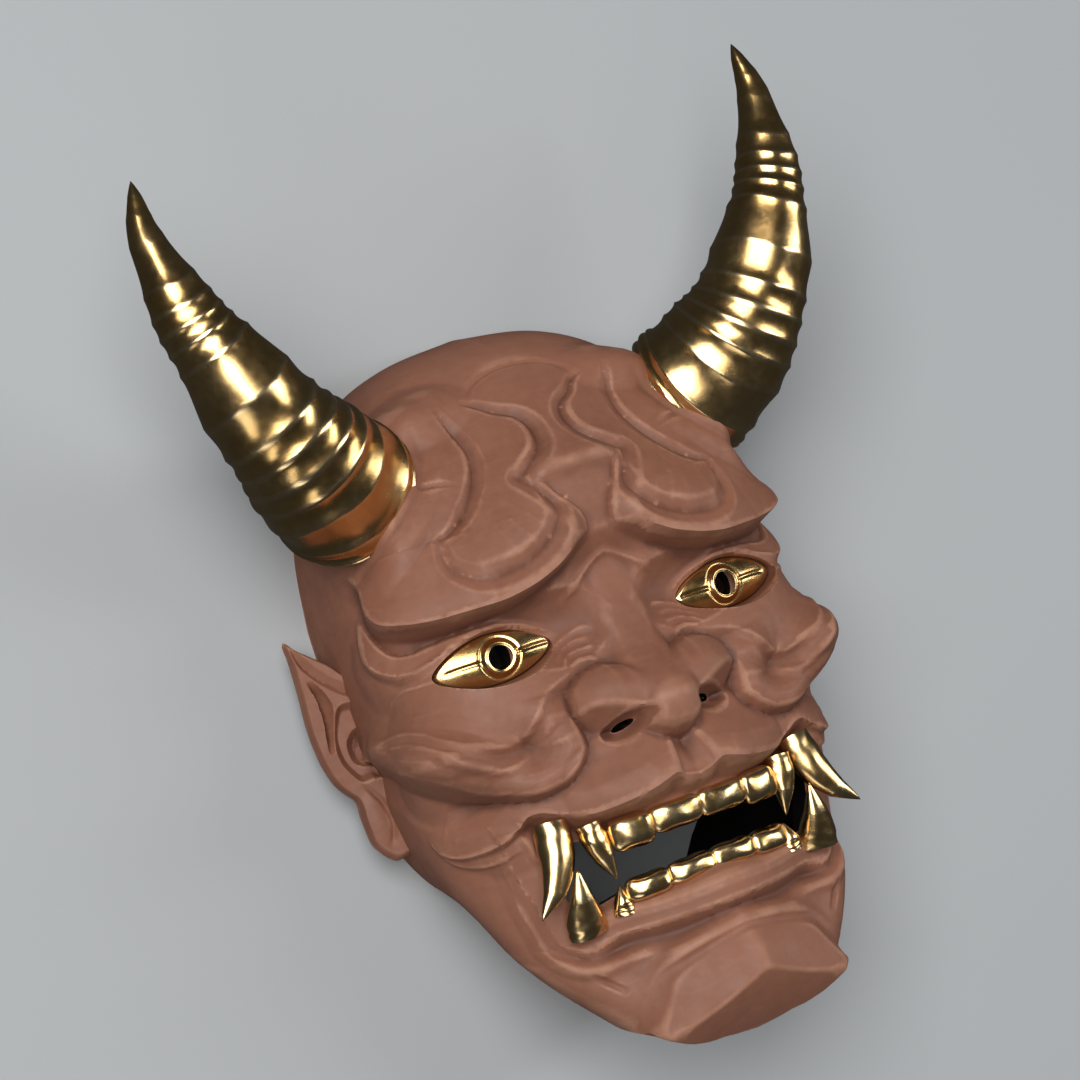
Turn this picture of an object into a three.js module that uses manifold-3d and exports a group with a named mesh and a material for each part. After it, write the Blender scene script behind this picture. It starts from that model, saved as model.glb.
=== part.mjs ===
import * as THREE from "three";
import Module from "manifold-3d";
import { mergeVertices } from "three/addons/utils/BufferGeometryUtils.js";

// Horned demon mask lying on its back rim: +X the viewer's right, +Y the crown, +Z out of the face, mm

// Sizes of the dome
const CENTRE_Y = -10;
const DEPTH = 80;
const WALL_RUN = 0.85;
const WALL = 5;
const FRONT_WALL = 6;
const CLEAR = 0.3;
const COLUMNS = 34;
const ROWS = 44;
const INNER_COLUMNS = 16;
const INNER_ROWS = 20;
const SNAP = 2.5;

// Half outline of the rear rim line, crown to chin
const OUTLINE = [
  [0, 114], [24, 111], [42, 103.5], [56, 92], [66, 77], [72, 58], [75, 38], [77, 15], [78, -10], [77.5, -35],
  [75, -52], [71.5, -65], [66, -78], [60.5, -90], [55.5, -101], [49, -110.5], [41.5, -119.5], [33, -129],
  [21, -137], [0, -141.5],
];
// Height of the face along the middle line, and how fast it falls to the sides
const MIDDLE = [
  [-134.5, 90], [-125, 92], [-112, 92], [-98, 92], [-88, 90], [-70, 92], [-50, 94], [-38, 90],
  [-20, 86], [0, 81], [15, 80], [30, 83.5], [45, 85], [58, 85], [75, 81], [90, 81], [114, 82],
];
const FALL = [
  [-134.5, 0.35], [-112, 0.42], [-100, 0.5], [-88, 0.6], [-70, 0.58], [-48, 0.55], [-36, 0.46], [-20, 0.3], [5, 0.16],
  [20, 0.22], [45, 0.36], [90, 0.36], [114, 0.2],
];
// Squareness of the section and how far the rim tucks in, by the angle from the crown in degrees
const SQUARE = [
  [0, 2.7], [15, 2.9], [35, 3.4], [60, 4.2], [85, 4.6], [97, 5.4], [110, 6.5], [125, 7], [160, 7], [180, 5.5],
];
const TUCK = [
  [0, 0], [60, 0], [90, 0.05], [115, 0.07], [128, 0.12], [135, 0.18], [143, 0.24], [151, 0.27], [157, 0.27],
  [162, 0.26], [170, 0.25], [180, 0.2],
];

// Carved lines of one half, from the middle outward
const BROW = [
  [-9.6, 35], [0, 38], [9.6, 35], [13.5, 30.8], [20, 27], [28.7, 23.8], [38, 21.8], [46.6, 21.6], [55.2, 22],
  [63.5, 23.4], [69, 25.2], [73.5, 27.4], [76.5, 30], [78.2, 33.6], [78.8, 38], [78.6, 44], [80, 50], [84, 56],
];
const BAND = [[22, 92], [14.7, 86.1], [9.2, 82.1], [6.7, 76.5], [7.2, 70.2], [9.7, 65.6], [14.1, 61.4], [19.1, 57.4]];
const RING = [
  [19.1, 57.4], [13.7, 48.3], [12.9, 43.7], [14.8, 39.5], [18.7, 35.2], [24.7, 31.5],
  [32, 29.3], [41.5, 29.2], [46.8, 32], [50, 37], [50, 43],
];
const HORN_ARC = [[32.3, 88], [29.3, 72.8], [31, 65.3], [35.3, 57.3], [40.6, 51], [46.5, 47]];
const LID = [
  [86, 38], [88, 31.5], [88, 23.5], [85, 16.8], [80.6, 12.6], [76.5, 10.3], [70.5, 9.6], [63.6, 10.8], [56.6, 13],
  [49.4, 14.4], [42, 14.6], [34, 13], [26.8, 10.2], [19.6, 5.4],
];
const LOBE = [
  [30.6, -13], [31, -20.3], [30.4, -24.9], [30.2, -29.5], [32.6, -33.5], [36.3, -36.7], [41.3, -38.5], [47.6, -38.6],
  [55.1, -35.7], [62.4, -32.4], [69.5, -27.6], [77.4, -23.4], [85.8, -20.9], [99.5, -17.5], [112, -16],
];
const FOLD = [
  [37, -15], [40.5, -20.5], [44, -23], [48.2, -25], [54, -24.6], [60, -22], [66, -18.4], [72, -14.6], [78, -11.6],
  [90, -10.4], [104, -11],
];
const FOLD_UNDER = [[48, -40.5], [58.9, -37.4], [67.9, -35.3], [82, -33], [97, -29]];
const LIP = [
  [-3, -49], [3, -49], [8.1, -47], [14, -48.6], [20.4, -49.8], [32.3, -50.6], [37.5, -49.4], [43, -47.2],
  [47.5, -45.4], [51.5, -45.6], [54.7, -48.2], [60.2, -51.1], [66.2, -52.4], [73, -53.1], [79.3, -51.6],
];
const LOWER_LIP = [
  [59.5, -56], [58, -62.4], [55, -72], [53.4, -79], [51.8, -85.6], [49.8, -89.8], [46.5, -92.6], [43, -93.3],
  [38.6, -91.6], [34, -90], [23.3, -90.4], [14.8, -90.4], [0, -89.6], [-8, -90],
];
const CHIN_SIDE = [[-134, 24], [-128, 30], [-122, 36], [-112, 37], [-104, 33], [-97, 30]];
const JAW = [[72, -58], [69, -72], [64.5, -85], [60, -97], [54, -108], [46, -118], [37, -128], [26, -135], [12, -139]];
const CHIN_TOP = [[0, -97.3], [8.5, -98], [15.3, -99.8], [22.5, -102.4], [27.4, -105.2], [30.5, -109]];

// Nose: height along the middle, half width of the bridge, slope of its sides
const NOSE = [
  [36, 84], [30, 80.5], [23.7, 78], [15, 78.6], [5, 81], [-4, 84.6], [-10, 89.4], [-16, 95.6], [-20, 99.2],
  [-24, 100.6], [-30, 99], [-36, 95],
];
const NOSE_HALF = [[34, 6], [20, 7], [5, 7.4], [-4, 7.2], [-12, 7], [-20, 7], [-36, 7]];
const NOSE_SIDE = [[30, 0.8], [10, 1], [-5, 1.05], [-12, 1], [-20, 0.85], [-36, 0.85]];
const NOSE_ROUND = [[-36, 0.055], [-20, 0.045], [-14, 0.035], [-8, 0.025], [0, 0.016], [30, 0.012]];

// Mouth opening and eye plate, half outlines
const MOUTH = [
  [0, -60], [18, -60], [30, -59.5], [42, -57], [47.5, -59], [48, -66], [45, -76],
  [41, -80.5], [34, -79], [20, -76.5], [0, -75.5],
];
const EYE_CENTRE = [43.8, 5];
const EYE_HALF = [19.8, 8];
const EYE_SLOPE = 0.175;
const EYE_IN_Z = 70.7;
const EYE_BULGE = 4.5;
const EYE_THICK = 3;
const EYE_OPEN = 14;
const PUPIL = [42.2, 4.8];
const PUPIL_RADIUS = 4;
const NOSTRIL = [16.5, -30, 5, 2.4, -14];

// Horn: x, y, z and radius along its axis
const HORN = [
  [65, 70.6, 47, 24.4], [70, 74, 53, 24.6], [77, 80, 60, 22.8], [85, 89.5, 67, 20.3], [94, 104, 72, 17.2],
  [101, 119, 75, 14], [106, 132, 75.7, 11.4], [109.5, 147, 75.2, 8.3], [111.5, 162, 74.6, 5.2], [110.5, 174, 74.2, 2.2],
];
const HORN_TIP = [110, 179, 74];
const HORN_SIDES = 14;
const HORN_RINGS = 20;

// Ear: half outline standing out of the side wall
const EAR = [
  [68, 18], [77, 22], [84, 27.5], [89.5, 32], [90, 22], [90.5, 8], [90, -4], [87.5, -14],
  [83.8, -22], [83.2, -32], [82.2, -40], [78, -46.5], [71, -47.5], [64, -42],
];
const EAR_Z = 15;
const EAR_THICK = 7;

// Curved teeth: x, y, z, half width and half depth from root to tip
const TUSK = [[45.4, -49.5, 75, 5.4, 4.6], [47, -55.5, 76, 5.8, 4.8], [50.2, -63, 77.5, 4.9, 4.2], [54.5, -70.5, 78.6, 3, 2.8]];
const TUSK_TIP = [58.7, -77.4, 79.5];
const UPPER_FANG = [[35.4, -53.5, 79.5, 4.4, 3.8], [35, -59, 80, 4.4, 3.8], [33.8, -65, 80.3, 3.2, 3]];
const UPPER_FANG_TIP = [31.9, -72.7, 80];
const LOWER_FANG = [[43.6, -86, 72.5, 7, 4.6], [44, -81, 74.2, 6.6, 4.6], [44.3, -74.5, 77, 4, 3.4]];
const LOWER_FANG_TIP = [43.7, -65.4, 79.7];
const SMALL_TOOTH = [[31.6, -84, 77, 3.8, 3.2], [31.4, -80, 77.4, 3.2, 3]];
const SMALL_TOOTH_TIP = [30.9, -74.6, 77.8];
const UPPER_BLOCKS = [[0, 16.9, -54.5, -63.6, 86.4, 85], [16.9, 30.4, -54.5, -65, 84.8, 81.4]];
const LOWER_BLOCKS = [[0, 15.6, -81, -73.4, 83.4, 82.4], [15.6, 29.6, -81.5, -73.8, 82.2, 78.6]];
const BLOCK_DEPTH = 3.2;
const LAP = 0.8;

const CLAY = { color: 0x8c5f4e, roughness: 0.62, metalness: 0 };
const GOLD = { color: 0xd2aa57, roughness: 0.22, metalness: 1 };

const wasm = await Module();
wasm.setup();

// Straight table and smooth table
function table(rows, x) {
  const list = rows.slice().sort((a, b) => a[0] - b[0]);
  if (x <= list[0][0]) return list[0][1];
  for (let i = 1; i < list.length; i++) {
    if (x > list[i][0]) continue;
    const [x0, y0] = list[i - 1];
    const [x1, y1] = list[i];
    return y0 + ((y1 - y0) * (x - x0)) / (x1 - x0);
  }
  return list[list.length - 1][1];
}

function spline(points, steps) {
  const n = points.length;
  const mirror = (a, b) => a.map((value, k) => 2 * value - b[k]);
  const all = [mirror(points[0], points[1]), ...points, mirror(points[n - 1], points[n - 2])];
  const out = [];
  for (let i = 1; i < n; i++) {
    for (let k = 0; k < steps; k++) {
      const t = k / steps;
      out.push(all[i].map((b, axis) => {
        const a = all[i - 1][axis];
        const c = all[i + 1][axis];
        const d = all[i + 2][axis];
        return 0.5 * (2 * b + (c - a) * t + (2 * a - 5 * b + 4 * c - d) * t * t + (3 * b - a - 3 * c + d) * t ** 3);
      }));
    }
  }
  out.push(points[n - 1]);
  return out;
}

const clamp = (value, low = 0, high = 1) => Math.min(high, Math.max(low, value));
const smoothMax = (a, b, r) => {
  const h = clamp(0.5 + (0.5 * (a - b)) / r);
  return b + (a - b) * h + r * h * (1 - h);
};
const smoothMin = (a, b, r) => -smoothMax(-a, -b, r);
const middle = spline(MIDDLE, 8);
const noseLine = spline(NOSE.slice().reverse(), 8);
const rimLine = spline(OUTLINE, 12).map(([x, y]) => [Math.atan2(x, y - CENTRE_Y), Math.hypot(x, y - CENTRE_Y)]);
const width = (angle) => table(rimLine, Math.abs(angle));
const reach = (angle) => width(angle) + WALL_RUN * DEPTH;
const front = (x, y) => table(middle, y) - table(FALL, y) * (Math.sqrt(x * x + 100) - 10);

// Point of the dome for a place on the flattened face; s is 1 in front and 0 at the rim
function dome(u, v) {
  const angle = Math.atan2(u, v - CENTRE_Y);
  const length = Math.hypot(u, v - CENTRE_Y);
  const degrees = Math.abs((angle * 180) / Math.PI);
  const n = table(SQUARE, degrees);
  const w = width(angle);
  let low = 0;
  let high = Math.PI / 2;
  for (let i = 0; i < 30; i++) {
    const m = (low + high) / 2;
    const run = w * Math.sin(m) ** (2 / n) + WALL_RUN * DEPTH * (1 - Math.cos(m) ** (2 / n)) ** 1.5;
    if (run < length) low = m;
    else high = m;
  }
  const m = length >= reach(angle) - 1e-6 ? Math.PI / 2 : (low + high) / 2;
  const c = Math.sin(m) ** (2 / n);
  const s = m === Math.PI / 2 ? 0 : Math.cos(m) ** (2 / n);
  const r = w * (c - table(TUCK, degrees) * (1 - s) ** 1.3);
  const z = front(w * c * Math.sin(angle), CENTRE_Y + w * c * Math.cos(angle)) * s;
  return { p: new THREE.Vector3(r * Math.sin(angle), CENTRE_Y + r * Math.cos(angle), z), s };
}

// Signed distance to a carved line (left of its run is plus) and the share along it
const lines = new Map();
function nearest(line, u, v) {
  if (!lines.has(line)) lines.set(line, spline(line, 6));
  const list = lines.get(line);
  let best = 1e9;
  let found = { d: 1e9, t: 0, at: [0, 0] };
  for (let i = 0; i + 1 < list.length; i++) {
    const [ax, ay] = list[i];
    const dx = list[i + 1][0] - ax;
    const dy = list[i + 1][1] - ay;
    const k = clamp(((u - ax) * dx + (v - ay) * dy) / (dx * dx + dy * dy));
    const px = ax + k * dx;
    const py = ay + k * dy;
    const far = Math.hypot(u - px, v - py);
    if (far >= best) continue;
    best = far;
    const side = dx * (v - ay) - dy * (u - ax) >= 0 ? 1 : -1;
    found = { d: far * side, t: (i + k) / (list.length - 1), at: [px, py] };
  }
  return found;
}

const ease = (t) => clamp(t) ** 2 * (3 - 2 * clamp(t));

// A raised edge that dies away to the left and drops on the right; a groove; a rounded swelling
function shelf(line, u, v, height, spread, drop, fade) {
  const { d, t } = nearest(line, u, v);
  const h = table(height, t);
  return d >= 0 ? h * table(fade, d / spread) : h * fade[0][1] * clamp(1 + d / drop);
}
function groove(line, u, v, half, depth) {
  const { d, t } = nearest(line, u, v);
  return -table(depth, t) * clamp(1 - Math.abs(d) / half);
}
function oval(u, v, cx, cy, rx, ry, turn = 0) {
  const a = (turn * Math.PI) / 180;
  const x = (u - cx) * Math.cos(a) + (v - cy) * Math.sin(a);
  const y = (v - cy) * Math.cos(a) - (u - cx) * Math.sin(a);
  return (x / rx) ** 2 + (y / ry) ** 2;
}
function roll(line, u, v, half, height) {
  const { d, t } = nearest(line, u, v);
  const k = clamp(1 - Math.abs(d) / half);
  return table(height, t) * k * k * (3 - 2 * k);
}
const swell = (u, v, cx, cy, rx, ry, h, turn = 0) => h * clamp(1 - oval(u, v, cx, cy, rx, ry, turn));

// Round side of the nose, nearly level toward the middle
function wing(x, y) {
  const tall = table([[4, 9], [10, 12.4], [15, 14]], x);
  const q = 1 - (Math.max(x - 14, 0) / 17.8) ** 2.3 - Math.abs((y + 20.5) / tall) ** 2.3;
  return q > 0 ? 79 - 0.26 * Math.max(x - 6, 0) + 18 * q ** (1 / 2.3) : -50;
}
function nose(x, y) {
  const side = Math.max(0, x - table(NOSE_HALF, y));
  let z = table(noseLine, y) - table(NOSE_ROUND, y) * x * x - side * table(NOSE_SIDE, y);
  z = smoothMax(z - 0.06 * Math.max(0, y - 32) ** 2, wing(x, y), 1.6);
  return smoothMin(z, 99.5 + (y + 24.5 + 0.007 * x * x) * 1.15, 1.5);
}

// Swelling out of the dome for every carved form
function relief(u, v) {
  let h = swell(u, v, 0, 62, 34, 40, 2);
  h += swell(u, v, 60, 74, 26, 30, 8);
  const brow = shelf(BROW, u, v, [[0, 8], [0.14, 8], [0.25, 11], [0.34, 13.5], [0.45, 14.5], [0.57, 12.6], [1, 12.6]], 44, 4,
    [[0, 1], [0.14, 0.97], [0.42, 0.52], [0.66, 0.18], [1, 0]]);
  h += brow * (1 - ease((v - 32) / 26) * ease((u - 60) / 16));
  h += swell(u, v, 30, 46, 17, 15, 2.2) - swell(u, v, 0, 22, 14, 12, 4.5);
  h += groove(BAND, u, v, 4.5, [[0, 0], [0.2, 2], [1, 3]]);
  h += groove(RING, u, v, 4.8, [[0, 3], [0.7, 3], [1, 0]]);
  h += groove(HORN_ARC, u, v, 4, [[0, 0], [0.4, 2], [0.8, 2.4], [1, 0]]);
  h -= swell(u, v, 22, 7, 17, 12, 6.5);
  h += shelf(LID_UP, u, v, [[0, 0.5], [0.2, 2.4], [0.8, 2.6], [1, 0]], 6.5, 2,
    [[0, 1], [0.5, 1], [1, 0]]);
  h += swell(u, v, 56, -7.5, 33, 18, 6.5, -4) + swell(u, v, 76, -27, 22, 15, 5.4) + swell(u, v, 82, 18, 22, 20, 4);
  h += swell(u, v, 42, 97, 24, 18, 5);
  h += roll(JAW, u, v, 24, [[0, 0], [0.2, 4], [0.4, 8], [0.8, 8], [1, 2]]);
  const lobe = [[0, 0], [0.12, 5], [0.2, 6.5], [0.3, 7.2], [0.4, 9], [0.5, 10.5], [0.6, 11], [0.75, 10], [0.9, 7], [1, 3]];
  h += shelf(LOBE, u, v, lobe, 20, 5.5,
    [[0, 0.8], [0.05, 0.88], [0.12, 0.96], [0.2, 1], [0.3, 0.97], [0.4, 0.85], [0.5, 0.65], [0.6, 0.42], [0.75, 0.15], [1, 0]]);
  h += groove(FOLD_UNDER, u, v, 9, [[0, 0], [0.3, 2.4], [0.7, 3.4], [1, 2]]);
  h += groove(FOLD, u, v, 3.6, [[0, 0], [0.15, 2.2], [0.4, 3], [0.85, 2.6], [1, 0]]);
  h += swell(u, v, 20, -44, 21, 16, 4.4);
  h += swell(u, v, 58, -50, 16, 12, 1.8);
  h += shelf(LIP, u, v, [[0, 2], [0.12, 2], [0.25, 3.4], [0.5, 4.4], [0.62, 5], [0.75, 4], [0.9, 2.5], [1, 0]], 16, 5,
    [[0, 1], [0.4, 0.85], [1, 0]]);
  const lip = nearest(LIP, u, v);
  const low = nearest(LOWER_LIP, u, v);
  const inMouth = v < -44 && v > -94 && u < 62;
  if (inMouth) h -= table([[0, 7], [34, 7], [46, 4.5], [62, 3]], u) * Math.min(clamp(-lip.d / 5), clamp((-low.d - 6.5) / 4));
  h += shelf(LOWER_LIP, u, v, [[0, 1.5], [0.2, 2.6], [0.45, 3.4], [0.7, 3], [1, 3]], 11, 3.6, [[0, 1], [0.5, 1], [1, 0]]);
  h -= swell(u, v, 20, -95, 34, 5, 2.5);
  return h;
}
// Chin with its two facets, and the nose: both stand straight out of the face
function straightRise(q, u, v, s) {
  let rise = 0;
  const x = Math.abs(q.x);
  const start = table(CHIN_TOP, u);
  if (v < start && u < 52) {
    let chin = 97.5 - 0.45 * Math.sqrt(x * x + 4) - 0.1 * (q.y + 112.5) - 3.2 * clamp((q.y + 112.5) / 14, 0, 1.5) ** 2;
    const down = -111.8 - q.y;
    chin = smoothMin(chin, 97.7 - 0.69 * down - (down > 0 ? 0.015 * down * down : 0) - 0.002 * x * x, 0.7);
    chin -= 1.2 * Math.max(0, x - table(CHIN_SIDE, q.y));
    rise = Math.max(0, chin - q.z) * clamp((s - 0.5) / 0.25);
  }
  if (u < 45 && v < 45 && v > -42) rise = Math.max(rise, smoothMax(q.z, nose(x, q.y), 1.2) - q.z);
  return rise;
}
const LID_UP = LID.slice().reverse();

// Outward direction of the dome
function outward(u, v) {
  const e = 0.4;
  const du = dome(u + e, v).p.sub(dome(u - e, v).p);
  const dv = dome(u, v + e).p.sub(dome(u, v - e).p);
  return du.cross(dv).normalize();
}

function facePoint(u, v) {
  const a = Math.abs(u);
  const { p, s } = dome(a, v);
  const h = relief(a, v);
  const way = s > 0 ? outward(a, v) : new THREE.Vector3();
  way.z += 1.6 * s;
  if (s > 0) way.normalize();
  p.addScaledVector(way, h * clamp(s * 6));
  p.z += straightRise(p, a, v, s);
  if (u < 0) p.x = -p.x;
  if (Math.abs(u) < 1e-9) p.x = 0;
  return p;
}

function hollowPoint(u, v) {
  const a = Math.abs(u);
  const { p, s } = dome(a, v);
  let h = swell(a, v, 60, 72, 34, 36, -9) + swell(a, v, 40, 26, 46, 16, 5) + swell(a, v, 58, -14, 40, 20, 5);
  h += swell(a, v, 0, -18, 18, 20, 5) + swell(a, v, 0, -114, 30, 18, 5) - swell(a, v, 24, 7, 26, 16, 7);
  h -= swell(a, v, 0, -68, 60, 26, 7) + swell(a, v, 44, 5, 30, 20, 6);
  const centre = new THREE.Vector3(0, CENTRE_Y, p.z);
  const inward = centre.sub(p).normalize();
  p.addScaledVector(inward, WALL * clamp((1 - s) * 1.4 + 0.12) * clamp(Math.hypot(a, v - CENTRE_Y) / 20));
  p.z += (h - FRONT_WALL) * clamp(s * 1.3) - 2 * clamp(1 - s * 6);
  if (u < 0) p.x = -p.x;
  if (Math.abs(u) < 1e-9) p.x = 0;
  return p;
}

// Closed triangle bodies
function body(points, faces) {
  const geometry = new THREE.BufferGeometry();
  geometry.setAttribute("position", new THREE.Float32BufferAttribute(points.flatMap((p) => [p.x, p.y, p.z]), 3));
  geometry.setIndex(faces);
  return geometry;
}
function solid(geometry) {
  const g = geometry.clone();
  g.deleteAttribute("normal");
  g.deleteAttribute("uv");
  const m = mergeVertices(g, 1e-4);
  const vertProperties = Float32Array.from(m.attributes.position.array);
  return new wasm.Manifold(new wasm.Mesh({ numProp: 3, vertProperties, triVerts: Uint32Array.from(m.index.array) }));
}
function geometryOf(manifold) {
  const mesh = manifold.getMesh();
  const geometry = new THREE.BufferGeometry();
  const positions = [];
  for (let i = 0; i < mesh.vertProperties.length; i += mesh.numProp) {
    positions.push(mesh.vertProperties[i], mesh.vertProperties[i + 1], mesh.vertProperties[i + 2]);
  }
  geometry.setAttribute("position", new THREE.Float32BufferAttribute(positions, 3));
  geometry.setIndex(Array.from(mesh.triVerts));
  return geometry;
}
function loft(rings) {
  const n = rings[0].length;
  const points = rings.flat();
  const faces = [];
  for (let i = 0; i + 1 < rings.length; i++) {
    for (let k = 0; k < n; k++) {
      const a = i * n + k;
      const b = i * n + ((k + 1) % n);
      faces.push(a, b, b + n, a, b + n, a + n);
    }
  }
  const middleOf = (ring) => ring.reduce((sum, p) => sum.add(p), new THREE.Vector3()).multiplyScalar(1 / n);
  const first = points.push(middleOf(rings[0])) - 1;
  const last = points.push(middleOf(rings[rings.length - 1])) - 1;
  const end = (rings.length - 1) * n;
  for (let k = 0; k < n; k++) {
    faces.push(first, (k + 1) % n, k);
    faces.push(last, end + k, end + ((k + 1) % n));
  }
  return body(points, faces);
}
function prism(outline, low, high) {
  const ring = (z) => outline.map(([x, y]) => new THREE.Vector3(x, y, z));
  return loft([ring(low), ring(high)]);
}
const bothSides = (half) => [...half, ...half.slice(1, -1).reverse().map(([x, y]) => [-x, y])].reverse();

// Sheet of the face over a disk, closed across the bottom
function sheet(columns, rows, pointAt, snapTo) {
  const points = [];
  const places = [];
  const at = (i, j) => j * (columns + 1) + i;
  for (let j = 0; j <= rows; j++) {
    for (let i = 0; i <= columns; i++) {
      const a = (2 * i) / columns - 1;
      const b = (2 * j) / rows - 1;
      const x = a * Math.sqrt(1 - (b * b) / 2);
      const y = b * Math.sqrt(1 - (a * a) / 2);
      const r = Math.hypot(x, y);
      const share = r < 0.8 ? (r / 0.8) * 0.62 : 0.62 + ((r - 0.8) / 0.2) * 0.38;
      const angle = Math.atan2(x, y);
      let u = Math.min(share, 1) * reach(angle) * Math.sin(angle);
      let v = CENTRE_Y + Math.min(share, 1) * reach(angle) * Math.cos(angle);
      const edge = i === 0 || j === 0 || i === columns || j === rows;
      if (!edge && Math.abs(u) > 0.5) {
        let best = SNAP;
        let to = null;
        for (const line of snapTo) {
          const found = nearest(line, Math.abs(u), v);
          if (Math.abs(found.d) >= best || found.t <= 0 || found.t >= 1) continue;
          best = Math.abs(found.d);
          to = found.at;
        }
        if (to && to[0] > 0.5) {
          v = to[1];
          u = Math.sign(u) * to[0];
        }
      }
      places.push([u, v]);
      points.push(edge ? rimPoint(angle, pointAt) : pointAt(u, v));
    }
  }
  const faces = [];
  for (let j = 0; j < rows; j++) {
    for (let i = 0; i < columns; i++) {
      const q = [at(i, j), at(i + 1, j), at(i + 1, j + 1), at(i, j + 1)];
      const u = (places[q[0]][0] + places[q[1]][0] + places[q[2]][0] + places[q[3]][0]) / 4;
      const v = (places[q[0]][1] + places[q[1]][1] + places[q[2]][1] + places[q[3]][1]) / 4;
      const real = pointAt(u, v);
      const off = (k, l) => points[q[k]].clone().add(points[q[l]]).multiplyScalar(0.5).distanceTo(real);
      const slant = off(0, 2) < off(1, 3);
      if (slant) faces.push(q[0], q[1], q[2], q[0], q[2], q[3]);
      else faces.push(q[0], q[1], q[3], q[1], q[2], q[3]);
    }
  }
  const loop = [];
  for (let i = 0; i < columns; i++) loop.push(at(i, 0));
  for (let j = 0; j < rows; j++) loop.push(at(columns, j));
  for (let i = columns; i > 0; i--) loop.push(at(i, rows));
  for (let j = rows; j > 0; j--) loop.push(at(0, j));
  const bottom = points[loop[0]].z;
  const hub = points.push(new THREE.Vector3(0, CENTRE_Y, bottom)) - 1;
  loop.forEach((a, k) => faces.push(hub, loop[(k + 1) % loop.length], a));
  return body(points, faces);
}
function rimPoint(angle, pointAt) {
  const r = reach(angle);
  const p = pointAt(r * Math.sin(angle), CENTRE_Y + r * Math.cos(angle));
  p.z = pointAt === facePoint ? 0 : -2;
  return p;
}

// Round tapering body along a bent axis; sections are round or oval
function taper(axis, tip, sides, rings, grow) {
  const list = spline(axis, rings);
  const out = [];
  let across = new THREE.Vector3(1, 0, 0);
  for (let i = 0; i < list.length; i += 2) {
    const [x, y, z, rx, rz] = list[i];
    const a = list[Math.max(0, i - 1)];
    const b = list[Math.min(list.length - 1, i + 1)];
    const way = new THREE.Vector3(b[0] - a[0], b[1] - a[1], b[2] - a[2]).normalize();
    across = across.clone().addScaledVector(way, -across.dot(way)).normalize();
    const other = way.clone().cross(across);
    const ring = [];
    for (let k = 0; k < sides; k++) {
      const t = (2 * Math.PI * k) / sides;
      const p = new THREE.Vector3(x, y, z);
      p.addScaledVector(across, (rx + grow) * Math.cos(t));
      p.addScaledVector(other, ((rz ?? rx) + grow) * Math.sin(t));
      if (i === 0) p.addScaledVector(way, -grow);
      ring.push(p);
    }
    out.push(ring);
  }
  const geometry = loft(out);
  const last = geometry.attributes.position.count - 1;
  geometry.attributes.position.setXYZ(last, ...tip);
  return geometry;
}

function flip(geometry) {
  const g = geometry.clone().scale(-1, 1, 1);
  const index = Array.from(g.index.array);
  for (let i = 0; i < index.length; i += 3) [index[i], index[i + 1]] = [index[i + 1], index[i]];
  g.setIndex(index);
  return g;
}

// Front tooth: rounded block between two x edges, root to cutting edge
function block([x0, x1, root, cut, z0, z1], grow) {
  const rings = [];
  const dir = Math.sign(cut - root);
  const turn = Math.atan2(z1 - z0, x1 - x0);
  for (const [share, size] of [[0, 0.94], [0.5, 1], [0.88, 0.96], [1, 0.8]]) {
    const y = root + (cut - root) * share + (share === 0 ? -dir * grow : share === 1 ? dir * grow : 0);
    const ring = [];
    for (let k = 0; k < 10; k++) {
      const t = (2 * Math.PI * k) / 10;
      const cx = Math.sign(Math.cos(t)) * Math.abs(Math.cos(t)) ** 0.55;
      const cz = Math.sign(Math.sin(t)) * Math.abs(Math.sin(t)) ** 0.75;
      const x = ((x1 - x0) / 2 + LAP + grow) * cx * size;
      const z = (BLOCK_DEPTH + grow) * cz * size;
      ring.push(new THREE.Vector3((x0 + x1) / 2 + x * Math.cos(turn) - z * Math.sin(turn), y, (z0 + z1) / 2 + x * Math.sin(turn) + z * Math.cos(turn)));
    }
    rings.push(ring);
  }
  if (dir > 0) rings.reverse();
  const g = loft(rings);
  return g;
}

// Almond eye plate with its round pupil, both faces bulged
function eyePlate(grow, thick, open) {
  const n = 20;
  const rings = [];
  const height = (x, y) => EYE_IN_Z - EYE_SLOPE * (x - 24.3) + EYE_BULGE * clamp(1 - oval(x, y, ...EYE_CENTRE, 20.5, 10));
  const ringAt = (share, down) => {
    const ring = [];
    for (let k = 0; k < n; k++) {
      const t = (-2 * Math.PI * k) / n;
      const cx = Math.cos(t);
      const lens = Math.sin(t) * (1 - 0.3 * cx * cx);
      const ex = EYE_CENTRE[0] + (EYE_HALF[0] + grow) * cx;
      const ey = EYE_CENTRE[1] + (EYE_HALF[1] + grow) * lens - (EYE_CENTRE[1] - 4.6) * Math.abs(cx);
      const hole = Math.max(PUPIL_RADIUS - grow, 0.5);
      const px = PUPIL[0] + hole * cx;
      const py = PUPIL[1] + hole * Math.sin(t);
      const x = px + (ex - px) * share;
      const y = py + (ey - py) * share;
      ring.push(new THREE.Vector3(x, y, height(x, y) + (down ? -thick - grow : open)));
    }
    return ring;
  };
  rings.push(ringAt(0, true), ringAt(1, true), ringAt(1, false), ringAt(0.55, false), ringAt(0, false));
  const count = rings.length;
  const points = rings.flat();
  const faces = [];
  for (let i = 0; i < count; i++) {
    for (let k = 0; k < n; k++) {
      const a = i * n + k;
      const b = i * n + ((k + 1) % n);
      const c = ((i + 1) % count) * n + ((k + 1) % n);
      const d = ((i + 1) % count) * n + k;
      faces.push(a, c, b, a, d, c);
    }
  }
  return body(points, faces);
}

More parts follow.
